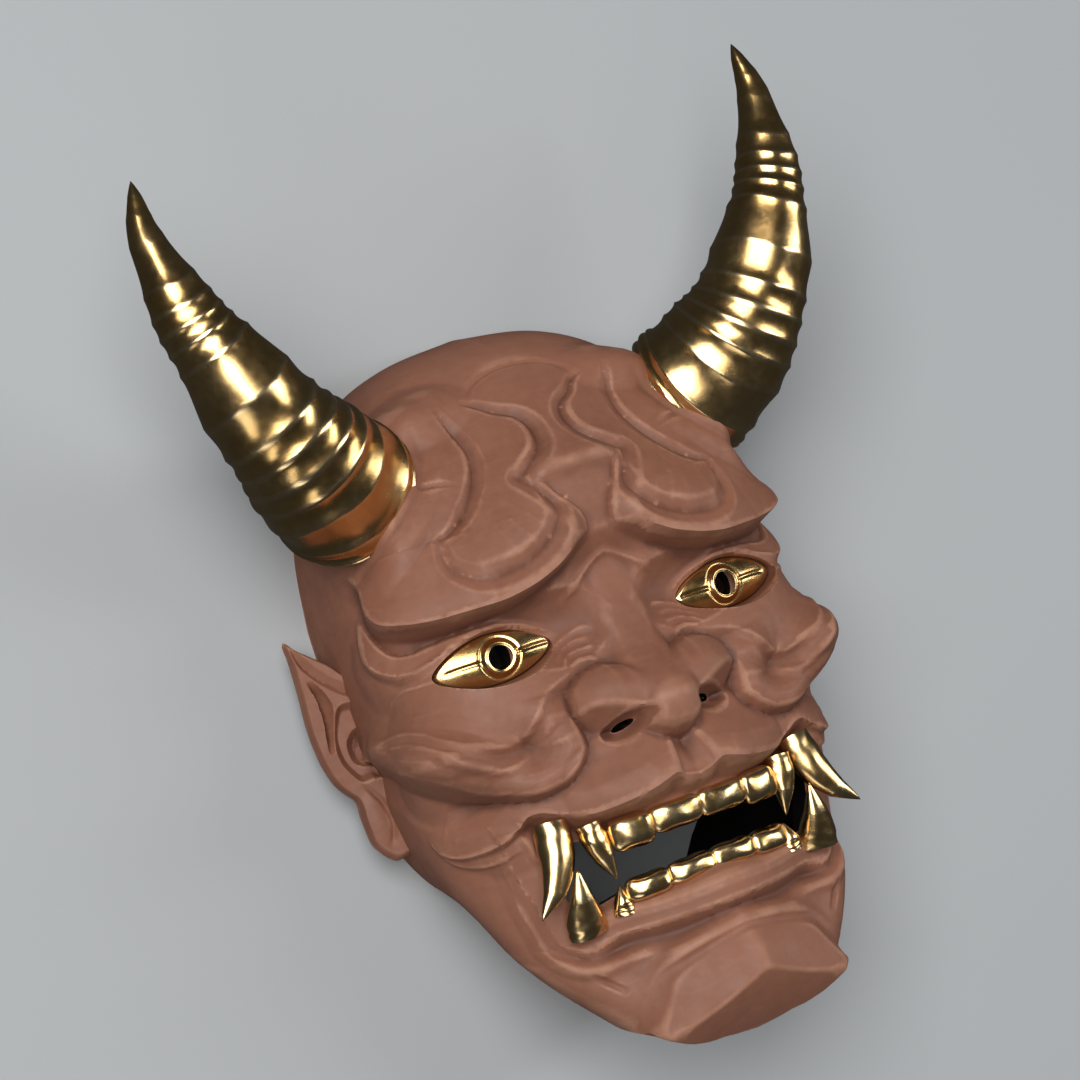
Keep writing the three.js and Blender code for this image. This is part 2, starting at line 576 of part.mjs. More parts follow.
function cylinderAt(x, y, rx, ry, low, high, turn = 0) {
  const a = (turn * Math.PI) / 180;
  const outline = [];
  for (let k = 0; k < 16; k++) {
    const t = (2 * Math.PI * k) / 16;
    const px = rx * Math.cos(t);
    const py = ry * Math.sin(t);
    outline.push([x + px * Math.cos(a) - py * Math.sin(a), y + px * Math.sin(a) + py * Math.cos(a)]);
  }
  return prism(outline, low, high);
}

function ear() {
  const outer = spline([...EAR, EAR[0]], 2).slice(0, -1);
  const middleX = 80;
  const middleY = -8;
  const ring = (share, z) => outer.map(([x, y]) => new THREE.Vector3(
    middleX + (x - middleX) * share, middleY + (y - middleY) * share, z + (80 - x) * 0.25)).reverse();
  return loft([ring(0.9, EAR_Z - EAR_THICK / 2), ring(1, EAR_Z), ring(0.93, EAR_Z + EAR_THICK / 2), ring(0.72, EAR_Z + EAR_THICK / 2 - 2.2)]);
}

const horn = (grow) => taper(HORN, HORN_TIP, HORN_SIDES, 3, grow);
const tusk = (grow) => taper(TUSK, TUSK_TIP, 10, 4, grow);
const upperFang = (grow) => taper(UPPER_FANG, UPPER_FANG_TIP, 10, 4, grow);
const lowerFang = (grow) => taper(LOWER_FANG, LOWER_FANG_TIP, 10, 4, grow);
const smallTooth = (grow) => taper(SMALL_TOOTH, SMALL_TOOTH_TIP, 8, 4, grow);

const row = (parts) => parts.map(solid).reduce((all, next) => all.add(next));
const upperRow = (grow) => row(UPPER_BLOCKS.flatMap((b) => [block(b, grow), flip(block(b, grow))]));
const lowerRow = (grow) => row([
  ...LOWER_BLOCKS.flatMap((b) => [block(b, grow), flip(block(b, grow))]), smallTooth(grow), flip(smallTooth(grow))]);

const SNAP_LINES = [BROW, LIP, LOBE, LOWER_LIP, FOLD, RING, BAND, HORN_ARC, LID_UP];
let shell = solid(sheet(COLUMNS, ROWS, facePoint, SNAP_LINES));
shell = shell.add(solid(ear())).add(solid(flip(ear())));
shell = shell.subtract(solid(sheet(INNER_COLUMNS, INNER_ROWS, hollowPoint, [])));
shell = shell.subtract(solid(prism(bothSides(MOUTH), 30, 130)));
for (const side of [1, -1]) {
  const turned = (g) => (side > 0 ? g : flip(g));
  shell = shell.subtract(solid(turned(cylinderAt(...PUPIL, PUPIL_RADIUS, PUPIL_RADIUS, 40, 90))));
  shell = shell.subtract(solid(turned(cylinderAt(NOSTRIL[0], NOSTRIL[1], NOSTRIL[2], NOSTRIL[3], 50, 100, NOSTRIL[4]))));
  shell = shell.subtract(solid(turned(eyePlate(CLEAR, EYE_THICK, EYE_OPEN))));
  shell = shell.subtract(solid(turned(horn(CLEAR))));
  shell = shell.subtract(solid(turned(tusk(CLEAR)))).subtract(solid(turned(upperFang(CLEAR))));
  shell = shell.subtract(solid(turned(lowerFang(CLEAR))));
}
shell = shell.subtract(upperRow(CLEAR)).subtract(lowerRow(CLEAR));

const pieces = [
  ["mask_shell", geometryOf(shell), CLAY],
  ["horn_right", horn(0), GOLD],
  ["horn_left", flip(horn(0)), GOLD],
  ["eye_right", eyePlate(0, EYE_THICK, 0), GOLD],
  ["eye_left", flip(eyePlate(0, EYE_THICK, 0)), GOLD],
  ["upper_teeth", geometryOf(upperRow(0)), GOLD],
  ["lower_teeth", geometryOf(lowerRow(0)), GOLD],
  ["tusk_right", tusk(0), GOLD],
  ["tusk_left", flip(tusk(0)), GOLD],
  ["upper_fang_right", upperFang(0), GOLD],
  ["upper_fang_left", flip(upperFang(0)), GOLD],
  ["lower_fang_right", lowerFang(0), GOLD],
  ["lower_fang_left", flip(lowerFang(0)), GOLD],
];

const group = new THREE.Group();
const box = new THREE.Box3();
for (const [, geometry] of pieces) {
  geometry.computeBoundingBox();
  box.union(geometry.boundingBox);
}
const shiftY = -(box.min.y + box.max.y) / 2;
for (const [name, geometry, look] of pieces) {
  geometry.translate(0, shiftY, 0);
  geometry.computeVertexNormals();
  const mesh = new THREE.Mesh(geometry, new THREE.MeshStandardMaterial(look));
  mesh.name = name;
  group.add(mesh);
}

export default group;
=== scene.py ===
import math

import bmesh
import bpy
import numpy as np
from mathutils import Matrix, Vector


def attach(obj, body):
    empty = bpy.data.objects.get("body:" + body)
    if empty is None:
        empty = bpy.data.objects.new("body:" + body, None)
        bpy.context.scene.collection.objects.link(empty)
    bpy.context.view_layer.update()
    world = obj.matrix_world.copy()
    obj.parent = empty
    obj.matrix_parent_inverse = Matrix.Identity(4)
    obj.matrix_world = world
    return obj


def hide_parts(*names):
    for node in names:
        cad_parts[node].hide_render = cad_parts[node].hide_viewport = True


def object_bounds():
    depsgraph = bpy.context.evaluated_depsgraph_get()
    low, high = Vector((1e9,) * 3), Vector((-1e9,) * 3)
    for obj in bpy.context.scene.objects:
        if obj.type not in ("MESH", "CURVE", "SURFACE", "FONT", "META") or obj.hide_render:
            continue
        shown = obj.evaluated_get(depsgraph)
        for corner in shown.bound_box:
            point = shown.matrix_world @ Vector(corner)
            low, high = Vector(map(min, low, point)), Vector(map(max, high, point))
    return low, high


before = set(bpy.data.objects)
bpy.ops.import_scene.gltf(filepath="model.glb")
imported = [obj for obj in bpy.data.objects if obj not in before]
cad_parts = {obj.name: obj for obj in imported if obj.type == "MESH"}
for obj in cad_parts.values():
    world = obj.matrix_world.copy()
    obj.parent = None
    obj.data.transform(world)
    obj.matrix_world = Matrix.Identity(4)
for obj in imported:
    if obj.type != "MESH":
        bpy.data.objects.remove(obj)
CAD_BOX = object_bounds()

# The face is carved in millimetres about the line between the eyes, half of it mirrored to the other side
MM = 0.001
HORN_TOP = 179.0
SHIFT = CAD_BOX[1][1] * 1000 - HORN_TOP
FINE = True
TINY = 1e-9

# Dome: OUTLINE is half the rim seen from the front, MIDDLE its height down the middle and FALL its slope
# to the sides, both by y. SQUARE says how boxy it is and TUCK how far the wall turns in, by degrees from
# the crown. JAW is the line of the jaw roll.
CENTRE_Y = -10.0
DEPTH = 80.0
WALL_RUN = 0.85
WALL = 5.0
FRONT_WALL = 6.0
FRONT_RIDGE = 10.0
HALVINGS = 26
OUTLINE = [(0, 114), (24, 111), (42, 103.5), (56, 92), (66, 77), (72, 58), (75, 38), (77, 15), (78, -10),
           (77.5, -35), (75, -52), (71.5, -65), (66, -78), (60.5, -90), (55.5, -101), (49, -110.5),
           (41.5, -119.5), (33, -129), (21, -137), (0, -141.5)]
JAW = [(72, -58), (69, -72), (64.5, -85), (60, -97), (54, -108), (46, -118), (37, -128), (26, -135),
       (12, -139)]
MIDDLE = [(-134.5, 90), (-125, 92), (-112, 92), (-98, 92), (-88, 90), (-70, 92), (-50, 94), (-38, 90),
          (-20, 86), (0, 81), (15, 80), (30, 83.5), (45, 85), (58, 85), (75, 81), (90, 81), (114, 82)]
FALL = [(-134.5, 0.35), (-112, 0.42), (-100, 0.5), (-88, 0.6), (-70, 0.58), (-48, 0.55), (-36, 0.46),
        (-20, 0.3), (5, 0.16), (20, 0.22), (45, 0.36), (90, 0.36), (114, 0.2)]
SQUARE = [(0, 2.7), (15, 2.9), (35, 3.4), (60, 4.2), (85, 4.6), (97, 5.4), (110, 6.5), (125, 7), (160, 7),
          (180, 5.5)]
TUCK = [(0, 0), (60, 0), (90, 0.05), (115, 0.07), (128, 0.12), (135, 0.18), (143, 0.24), (151, 0.27),
        (157, 0.27), (162, 0.26), (170, 0.25), (180, 0.2)]


def spline(points, steps=14):
    """Smooth curve through every point"""
    p = np.array(points, float)
    p = np.vstack([2 * p[0] - p[1], p, 2 * p[-1] - p[-2]])
    out = []
    for a, b, c, d in zip(p[:-3], p[1:-2], p[2:-1], p[3:]):
        for k in range(steps):
            t = k / steps
            bend = (2 * a - 5 * b + 4 * c - d) * t * t + (3 * b - a - 3 * c + d) * t ** 3
            out.append(0.5 * (2 * b + (c - a) * t + bend))
    return np.array(out + [p[-2]])


def lin(x, rows):
    """Value at x from rows of (x, value), straight between them"""
    rows = np.array(sorted(rows), float)
    return np.interp(x, rows[:, 0], rows[:, 1])


def curve(x, rows):
    """Value at x from rows of (x, value), smooth between them"""
    rows = spline(sorted(rows), 10)
    return np.interp(x, rows[:, 0], rows[:, 1])


def even(value):
    """Rows for a value that stays the same along a line"""
    return [(0, value), (1, value)]


def clamp(x):
    return np.clip(x, 0, 1)


def ease(t):
    t = clamp(t)
    return t * t * (3 - 2 * t)


def smooth_max(a, b, r):
    h = clamp(0.5 + 0.5 * (a - b) / r)
    return b + (a - b) * h + r * h * (1 - h)


def smooth_min(a, b, r):
    return -smooth_max(-a, -b, r)


def unit(rows):
    """Each row as a direction of length one"""
    return rows / np.maximum(np.linalg.norm(rows, axis=1, keepdims=True), TINY)


RIM = spline(OUTLINE, 12)
RIM_ANGLE = np.arctan2(RIM[:, 0], RIM[:, 1] - CENTRE_Y)
RIM_WIDTH = np.hypot(RIM[:, 0], RIM[:, 1] - CENTRE_Y)


def width(angle):
    return np.interp(np.abs(angle), RIM_ANGLE, RIM_WIDTH)


def reach(angle):
    """How far the flattened face runs from its centre to the rim"""
    return width(angle) + WALL_RUN * DEPTH


def front(x, y):
    """Height of the dome's front: the middle line, falling to the sides from a rounded ridge"""
    return curve(y, MIDDLE) - lin(y, FALL) * (np.sqrt(x * x + FRONT_RIDGE ** 2) - FRONT_RIDGE)


def dome(u, v):
    """Smooth form of the mask for a place on the flattened face; s is 1 in front and 0 at the rim"""
    angle = np.arctan2(u, v - CENTRE_Y)
    length = np.hypot(u, v - CENTRE_Y)
    turn = np.degrees(np.abs(angle))
    n, w = lin(turn, SQUARE), width(angle)
    low, high = np.zeros_like(length), np.full_like(length, np.pi / 2)
    for _ in range(HALVINGS):
        m = (low + high) / 2
        run = w * np.sin(m) ** (2 / n) + WALL_RUN * DEPTH * (1 - np.cos(m) ** (2 / n)) ** 1.5
        low, high = np.where(run < length, m, low), np.where(run < length, high, m)
    m = (low + high) / 2
    c, s = np.sin(m) ** (2 / n), np.cos(m) ** (2 / n)
    s = np.where(length > reach(angle) - 1e-4, 0, s)
    r = w * (c - lin(turn, TUCK) * (1 - s) ** 1.3)
    z = front(w * c * np.sin(angle), CENTRE_Y + w * c * np.cos(angle)) * s
    return np.stack([r * np.sin(angle), CENTRE_Y + r * np.cos(angle), z], -1), s


def near(line, u, v, far):
    """Signed distance (left of the run is plus) and share along a line, for the points closer than far"""
    line = spline(line, 8) if len(line) > 2 else np.array(line, float)
    low, high = line.min(0) - far, line.max(0) + far
    k = np.where((u > low[0]) & (u < high[0]) & (v > low[1]) & (v < high[1]))[0]
    p = np.stack([u[k], v[k]], 1)
    best, side, share = np.full(len(k), 1e9), np.ones(len(k)), np.zeros(len(k))
    step = np.diff(line, axis=0)
    size = np.maximum(np.hypot(*step.T), TINY)
    run = np.r_[0, np.cumsum(size)]
    for i in range(len(step)):
        w = p - line[i]
        t = clamp(w @ step[i] / size[i] ** 2)
        d = np.hypot(*(w - t[:, None] * step[i]).T)
        m = d < best
        best = np.where(m, d, best)
        side = np.where(m, np.where(step[i, 0] * w[:, 1] - step[i, 1] * w[:, 0] >= 0, 1, -1), side)
        share = np.where(m, (run[i] + t * size[i]) / run[-1], share)
    ok = best < far
    return k[ok], (best * side)[ok], share[ok]


EDGE_ROUND = 0.3


def shelf(h, u, v, line, height, spread, drop, fade, bend=1.35):
    """A raised edge: dies away over spread on the left of the line, drops on the right"""
    k, d, t = near(line, u, v, spread)
    below = np.sqrt(d * d + EDGE_ROUND ** 2) - EDGE_ROUND
    falling = fade[0][1] * clamp(1 - below / (lin(t, drop) - EDGE_ROUND)) ** bend
    h[k] += lin(t, height) * np.where(d >= 0, lin(d / spread, fade), falling)


def groove(h, u, v, line, left, right, depth, bend=1.0):
    """A V groove with its own width on each side"""
    far = max(w for _, w in left + right)
    k, d, t = near(line, u, v, far)
    wide = np.maximum(np.where(d >= 0, lin(t, left), lin(t, right)), 0.05)
    h[k] -= lin(t, depth) * clamp(1 - np.abs(d) / wide) ** bend


def ridge(h, u, v, line, half, height, bend=1.0):
    groove(h, u, v, line, half, half, [(t, -a) for t, a in height], bend)


def roll(h, u, v, line, half, height):
    """A soft rounded swelling along a line"""
    k, d, t = near(line, u, v, half)
    h[k] += lin(t, height) * ease(1 - np.abs(d) / half)


def oval(u, v, centre, radii, turn=0.0):
    """Square of the distance from an oval's centre, 1 on its edge"""
    a = math.radians(turn)
    x, y = u - centre[0], v - centre[1]
    along = (x * math.cos(a) + y * math.sin(a)) / radii[0]
    across = (y * math.cos(a) - x * math.sin(a)) / radii[1]
    return along ** 2 + across ** 2


def swell(u, v, centre, radii, height, turn=0.0, power=1.5):
    """Rounded oval hill, or a hollow where its height is taken off"""
    return height * clamp(1 - oval(u, v, centre, radii, turn)) ** power


# Forehead lines
BROW = [(-14, 31.5), (-6, 35), (0, 36), (6, 35), (10, 33), (14, 30.4), (20, 27), (28.7, 23.8), (38, 21.8),
        (46.6, 21.6), (55.2, 22), (63.5, 23.4), (69, 25.2), (73.5, 27.4), (76.5, 30), (78.2, 33.6),
        (78.8, 38), (78.6, 44), (80, 50), (84, 56), (88, 62)]
BAND = [(25, 94.5), (20.1, 91.6), (14.7, 86.1), (9.2, 82.1), (6.7, 76.5), (7.2, 70.2), (9.7, 65.6),
        (14.1, 61.4), (19.1, 57.4)]
RING = [(19.1, 57.4), (16.4, 52.6), (13.7, 48.3), (12.9, 43.7), (14.8, 39.5), (18.7, 35.2), (24.7, 31.5),
        (32, 29.3), (41.5, 29.2), (46.8, 32), (50, 37), (50, 43), (48, 49)]
HORN_ARC = [(34, 97), (32.3, 88), (30.2, 80.5), (29.3, 72.8), (31, 65.3), (35.3, 57.3), (40.6, 51),
            (46.5, 47), (52, 46)]
SLAB_STEPS = 22
SLAB_FADE = [(k / SLAB_STEPS, math.cos(min(k / SLAB_STEPS / 0.9, 1) * math.pi / 2) ** 1.6)
             for k in range(SLAB_STEPS + 1)]
SLAB = [(17, 60), (14.5, 57), (12.1, 53.4), (9.3, 48.2), (6.4, 44.3), (4.4, 40.3), (4, 36.1), (5, 32),
        (8, 28)]
TOP_LOBE = [(20, 92.4), (20, 96), (17.8, 100), (13.9, 103.5), (7.4, 106.6), (0, 107.4), (-7, 106.6)]
NOTCH = [(48, 65), (43.4, 64.2), (37, 62.4)]
HORN_FOOT = [(44, 92), (43.5, 80), (47.5, 68), (55, 58), (66, 51), (78, 47), (90, 47)]
# Eye lines
LID_TOP = [(84.8, 36.4), (82.5, 30.1), (79.5, 23.6), (75.4, 18.4), (69, 16.4), (61, 16.6), (51.2, 16.6),
           (42.4, 16), (32, 13.7), (22.6, 9)]
LID = [(86, 38), (88, 31.5), (88, 23.5), (85, 16.8), (80.6, 12.6), (76.5, 10.3), (70.5, 9.6),
       (63.6, 10.8), (56.6, 13), (49.4, 14.4), (42, 14.6), (34, 13), (26.8, 10.2), (19.6, 5.4)]
CANTHUS = [(88, 0), (84, 3.4), (79, 5.6), (74, 5.4), (70.6, 5), (65, 4.8), (62, 5)]
TENT = [(-3, 26), (0, 26.6), (4, 25), (10, 21.2), (16, 16.4), (19, 14)]
# Wrinkles beside the nose root
WRINKLES = [[(27.5, 0), (23.4, 3), (18.6, 5), (14.2, 6), (11, 5.4)],
            [(27.3, -2.4), (22.4, 1.2), (18.4, 2.4), (13, 2.6)],
            [(26.2, -4.8), (22.8, -1.6), (18.6, -0.6), (13, -0.8)],
            [(24, -5.4), (20.6, -3.8), (16.6, -4.4), (14.6, -6.4)]]
# Cheek lines
FOLD_TOP = [(110, -10), (95, -9.4), (86.5, -8.4), (79.5, -9), (74.2, -11), (69.8, -14), (63.4, -17.6),
            (55.5, -20.6), (48.7, -21.5), (44.5, -19.5), (40.8, -16), (36.6, -11.5), (32, -9.1),
            (27.4, -7.5), (23, -6.3), (18.6, -7.3)]
FOLD_LOW = [(110, -13), (93.9, -12), (83.6, -12), (76.7, -13.9), (72.4, -16.6), (68.1, -19.9),
            (63, -23.8), (57.2, -27), (52.4, -28.4), (47.5, -27.5), (42.5, -25), (38.6, -20.6),
            (36.6, -16.5), (34.6, -13.5)]
LOBE = [(30.3, -12), (30.8, -15.4), (31, -20.3), (30.4, -24.9), (30.2, -29.5), (32.6, -33.5),
        (36.3, -36.7), (41.3, -38.5), (47.6, -38.6), (55.1, -35.7), (62.4, -32.4), (69.5, -27.6),
        (77.4, -23.4), (85.8, -20.9), (99.5, -17.5), (112, -16)]
LOBE_FALL = [(0, 3), (0.36, 3), (0.435, 3.4), (0.51, 4.8), (0.59, 6.6), (0.67, 8), (1, 9)]
# Mouth lines
LIP = [(-6, -48), (0, -49.2), (2.7, -49), (5, -48.2), (8.1, -47), (14, -48.6), (20.4, -49.8),
       (32.3, -50.6), (37.5, -49.4), (43, -47.2), (47.5, -45.4), (51.5, -45.6), (54.7, -48.2),
       (60.2, -51.1), (66.2, -52.4), (73, -53.1), (79.3, -51.6), (84, -47)]
CURL = [(54, -54), (57.5, -55.2), (61.4, -56.6), (67.4, -57.2), (73.9, -56.2), (79, -53.4), (83.5, -48)]
LOWER_LIP = [(59.5, -56), (58, -62.4), (55, -72), (53.4, -79), (51.8, -85.6), (49.8, -89.8),
             (46.5, -92.6), (43, -93.3), (38.6, -91.6), (34, -90), (29.4, -89.9), (23.3, -90.4),
             (14.8, -90.4), (5.6, -89.8), (0, -89.6), (-6, -89.8)]
ROLL = [(61.5, -57), (60, -66), (58.8, -75), (57, -82), (55.8, -88), (54.4, -93.6), (51.5, -97.6),
        (47.6, -99.6), (42.2, -99.8), (37.5, -98.8), (31, -97.2), (24, -95.4)]
MOUTH_DEPTH = [(0, 7), (34, 7), (46, 4.5), (62, 3)]
# Chin lines
CHIN_TOP = [(-8.5, -97.7), (0, -97.1), (8.5, -97.8), (15.3, -99.5), (22.5, -102), (27.4, -104.7),
            (30.5, -108), (32.5, -112), (36.5, -121), (41, -130), (48, -142)]
CHIN_SIDE = [(-134, 24), (-128, 30), (-122, 36), (-112, 37), (-104, 33), (-97, 30)]
JAW_CUT = [(47, -101), (43.4, -104.6), (39.4, -108.6)]
CHIN_TOP_Z = 97.5
CHIN_Y = -112.5
CHIN_TIP_Z = 97.7
CHIN_TIP_Y = -111.8
# Nose
NOSE = [(36, 84), (30, 80.5), (23.7, 78), (15, 78.6), (5, 81), (-4, 84.6), (-10, 89.4), (-16, 95.6),
        (-20, 99.2), (-24, 100.6), (-30, 99), (-36, 95)]
COLUMN = [(34, 6), (20, 7), (5, 7.4), (-4, 7.4), (-12, 7.6), (-20, 8), (-36, 8)]
NOSE_SIDE = [(30, 0.8), (10, 1.0), (-5, 1.05), (-12, 1.0), (-20, 0.85), (-36, 0.85)]
NOSE_ROUND = [(-36, 0.055), (-20, 0.045), (-14, 0.035), (-8, 0.025), (0, 0.016), (30, 0.012)]
NOSE_EDGE = [(0, -31.8), (4, -31.4), (7.4, -29.4), (10.6, -25.6), (14.1, -22.2), (20.3, -19.6),
             (25.4, -18.8), (31, -20)]
NOSE_UNDER = [(0, 1.7), (6, 1.6), (10, 1.1), (16, 0.95), (30, 1.1)]
WING_START = 14
WING_RUN = 17.8
WING_Y = -20.5
WING_HALF = [(4, 9), (10, 12.4), (15, 14)]
WING_TOP = 77.6
WING_SWELL = 18
WING_POWER = 2.3
FAR_BELOW = -60
NOSTRIL = (15.0, -27.8)
NOSTRIL_SIZE = (3.2, 1.3)
NOSTRIL_TURN = -14
# Lines onto which the grid is drawn, so that these edges stay crisp
EDGES = [BROW, LIP, LOWER_LIP, RING, BAND, LID, SLAB, NOSE_EDGE, HORN_ARC]
SNAP_REACH = 0.46
# Places where the inside comes forward (plus) or stands back from the smooth dome: centre, radii, height
INSIDE_SWELLS = [((60, 72), (34, 36), -9), ((40, 26), (46, 16), 5), ((58, -14), (40, 20), 5),
                 ((0, -18), (18, 20), 5), ((0, -114), (30, 18), 5), ((24, 7), (26, 16), -7),
                 ((0, -68), (60, 26), -7), ((44, 5), (30, 20), -6)]


def brow_slab(u, v):
    """Thick slab over the eye, cut off at the SLAB line in the middle and dying away at the temple"""
    slab = np.zeros_like(u)
    shelf(slab, u, v, BROW, spread=44, fade=SLAB_FADE,
          height=[(0, 7), (0.16, 7.5), (0.26, 10.5), (0.34, 13), (0.45, 14.5), (0.57, 12.6), (1, 12.6)],
          drop=[(0, 3), (0.3, 3.6), (0.6, 5), (0.72, 5), (0.85, 3), (1, 3)])
    slab *= 1 - ease((v - 32) / 26) * ease((u - 60) / 16)
    k, d, t = near(SLAB, u, v, 60)
    share = np.zeros_like(u)
    step = lin(t, [(0, 0.8), (0.4, 0.36), (0.8, 0.18), (1, 0.3)])
    share[k] = np.where(d < 0, 0, step * clamp(d / 1.2))
    share[k] += (1 - share[k]) * ease((d + 0.5) / 9)
    share = np.maximum(share, ease((v - 52) / 8))
    share[u > 16] = 1
    return slab * share


def forehead(h, u, v):
    """Brow slab, the swelling that carries the horn collar, and the lobes and grooves between them"""
    h += swell(u, v, (0, 62), (40, 44), 2.6)
    h += brow_slab(u, v) + swell(u, v, (60, 72), (36, 40), 8.5, power=1.6)
    h += swell(u, v, (30, 45), (19, 17), 2.0, power=2) - swell(u, v, (0, 22), (15, 13), 4.5)
    band, ring = np.zeros_like(u), np.zeros_like(u)
    groove(band, u, v, BAND, depth=[(0, 0), (0.12, 1.6), (0.5, 2.7), (1, 2.9)],
           left=[(0, 1), (0.3, 2.2), (0.6, 2.6), (1, 3.6)],
           right=[(0, 1.5), (0.15, 3), (0.5, 4.6), (0.8, 4.4), (1, 4.6)])
    groove(ring, u, v, RING, depth=[(0, 2.9), (0.3, 2.7), (0.6, 2.8), (0.8, 2), (0.93, 0.8), (1, 0)],
           left=[(0, 4.4), (0.2, 4), (0.45, 4.8), (0.65, 5), (0.8, 4), (1, 2)],
           right=[(0, 4.6), (0.2, 4), (0.45, 4.4), (0.65, 4.2), (0.8, 3.4), (1, 1.5)])
    h += np.minimum(band, ring)
    groove(h, u, v, HORN_ARC, depth=[(0, 0), (0.15, 1.0), (0.5, 2.0), (0.8, 2.4), (1, 0)],
           left=[(0, 0.6), (0.25, 1.4), (0.5, 1.8), (0.75, 3.4), (1, 1)],
           right=[(0, 0.8), (0.2, 3.6), (0.5, 4), (0.8, 3), (1, 1)])
    groove(h, u, v, HORN_FOOT, left=even(4.5), right=even(6), bend=1.6,
           depth=[(0, 0), (0.2, 1.6), (0.8, 1.6), (1, 0)])
    groove(h, u, v, NOTCH, depth=[(0, 1.1), (0.7, 0.9), (1, 0)],
           left=[(0, 0.9), (0.6, 0.8), (1, 0.1)], right=[(0, 1.6), (0.6, 1.2), (1, 0.2)])
    groove(h, u, v, TOP_LOBE, left=even(1), right=even(3), depth=[(0, 0), (0.2, 0.7), (1, 0.7)])


def eye_region(h, u, v):
    """Eye socket, lid roll, and the wrinkles beside the nose"""
    h -= swell(u, v, (24, 8), (20, 13), 7, power=1.2)
    k, d, t = near(LID, u, v, 12)
    above = lin(t, [(0, 3), (0.07, 5.5), (0.16, 8.4), (0.3, 8.4), (0.42, 6.4), (0.5, 5.4),
                    (0.58, 3.4), (0.66, 2.4), (1, 2.2)])
    below = lin(t, [(0, 1.5), (0.2, 3), (0.45, 3.2), (0.6, 2.2), (1, 1.4)])
    height = lin(t, [(0, 0), (0.08, 1.6), (0.2, 3.2), (0.45, 3), (0.6, 1.8), (0.85, 1.4), (1, 0)])
    h[k] += height * np.where(d < 0, clamp(1 + d / above), clamp(1 - d / below))
    groove(h, u, v, LID_TOP, left=even(1), right=[(0, 5), (0.4, 7), (0.6, 3), (1, 2)],
           depth=[(0, 0), (0.12, 1.6), (0.4, 2.4), (0.6, 1), (0.9, 0.6), (1, 0)])
    ridge(h, u, v, TENT, half=even(1.8), height=[(0, 1.2), (0.8, 1), (1, 0)], bend=0.9)
    ridge(h, u, v, CANTHUS, half=[(0, 1.6), (1, 1)], height=[(0, 0), (0.2, 0.7), (0.8, 0.6), (1, 0)])
    for line in WRINKLES:
        ridge(h, u, v, line, half=[(0, 1.1), (1, 1.5)], bend=0.8,
              height=[(0, 0), (0.2, 0.9), (0.85, 0.9), (1, 0.2)])


def cheeks(h, u, v):
    """Jaw roll, cheek bone, crown, and the lobe beside the nose with the two folds above it"""
    roll(h, u, v, JAW, half=24, height=[(0, 0), (0.2, 4), (0.4, 8), (0.8, 8), (1, 2)])
    h += (swell(u, v, (56, -7), (34, 20), 7.5, -4, 1.1) + swell(u, v, (76, -27), (22, 15), 6)
          + swell(u, v, (82, 18), (22, 20), 4))
    h += swell(u, v, (42, 97), (24, 18), 6)
    shelf(h, u, v, LOBE, spread=20, drop=LOBE_FALL, bend=1.0,
          height=[(0, 0), (0.06, 5), (0.12, 7.6), (0.3, 8), (0.4, 9), (0.5, 10.5), (0.6, 11), (0.75, 10),
                  (0.9, 7), (1, 3)],
          fade=[(0, 0.8), (0.05, 0.88), (0.12, 0.96), (0.2, 1), (0.3, 0.97), (0.4, 0.85), (0.5, 0.65),
                (0.6, 0.42), (0.75, 0.15), (1, 0)])
    k, d, t = near(LOBE, u, v, 24)
    fall = lin(t, LOBE_FALL)
    under = np.where(-d < fall, -d / fall, 1 - (-d - fall) / 13)
    depth = lin(t, [(0, 0), (0.38, 0), (0.5, 2), (0.6, 3.2), (0.75, 3.6), (1, 2)])
    h[k] -= depth * clamp(under)
    shelf(h, u, v, FOLD_TOP[::-1], spread=13, drop=even(2.8), fade=[(0, 1), (0.4, 0.45), (1, 0)], bend=1,
          height=[(0, 0), (0.15, 1.8), (0.5, 3), (0.7, 2.6), (0.85, 1.8), (1, 0)])
    shelf(h, u, v, FOLD_LOW[::-1], spread=5, drop=even(2.8), fade=[(0, 1), (0.4, 0.5), (1, 0)], bend=1,
          height=[(0, 0), (0.1, 0.4), (0.25, 1.4), (0.5, 2), (0.7, 1.4), (0.85, 0.8), (1, 0)])


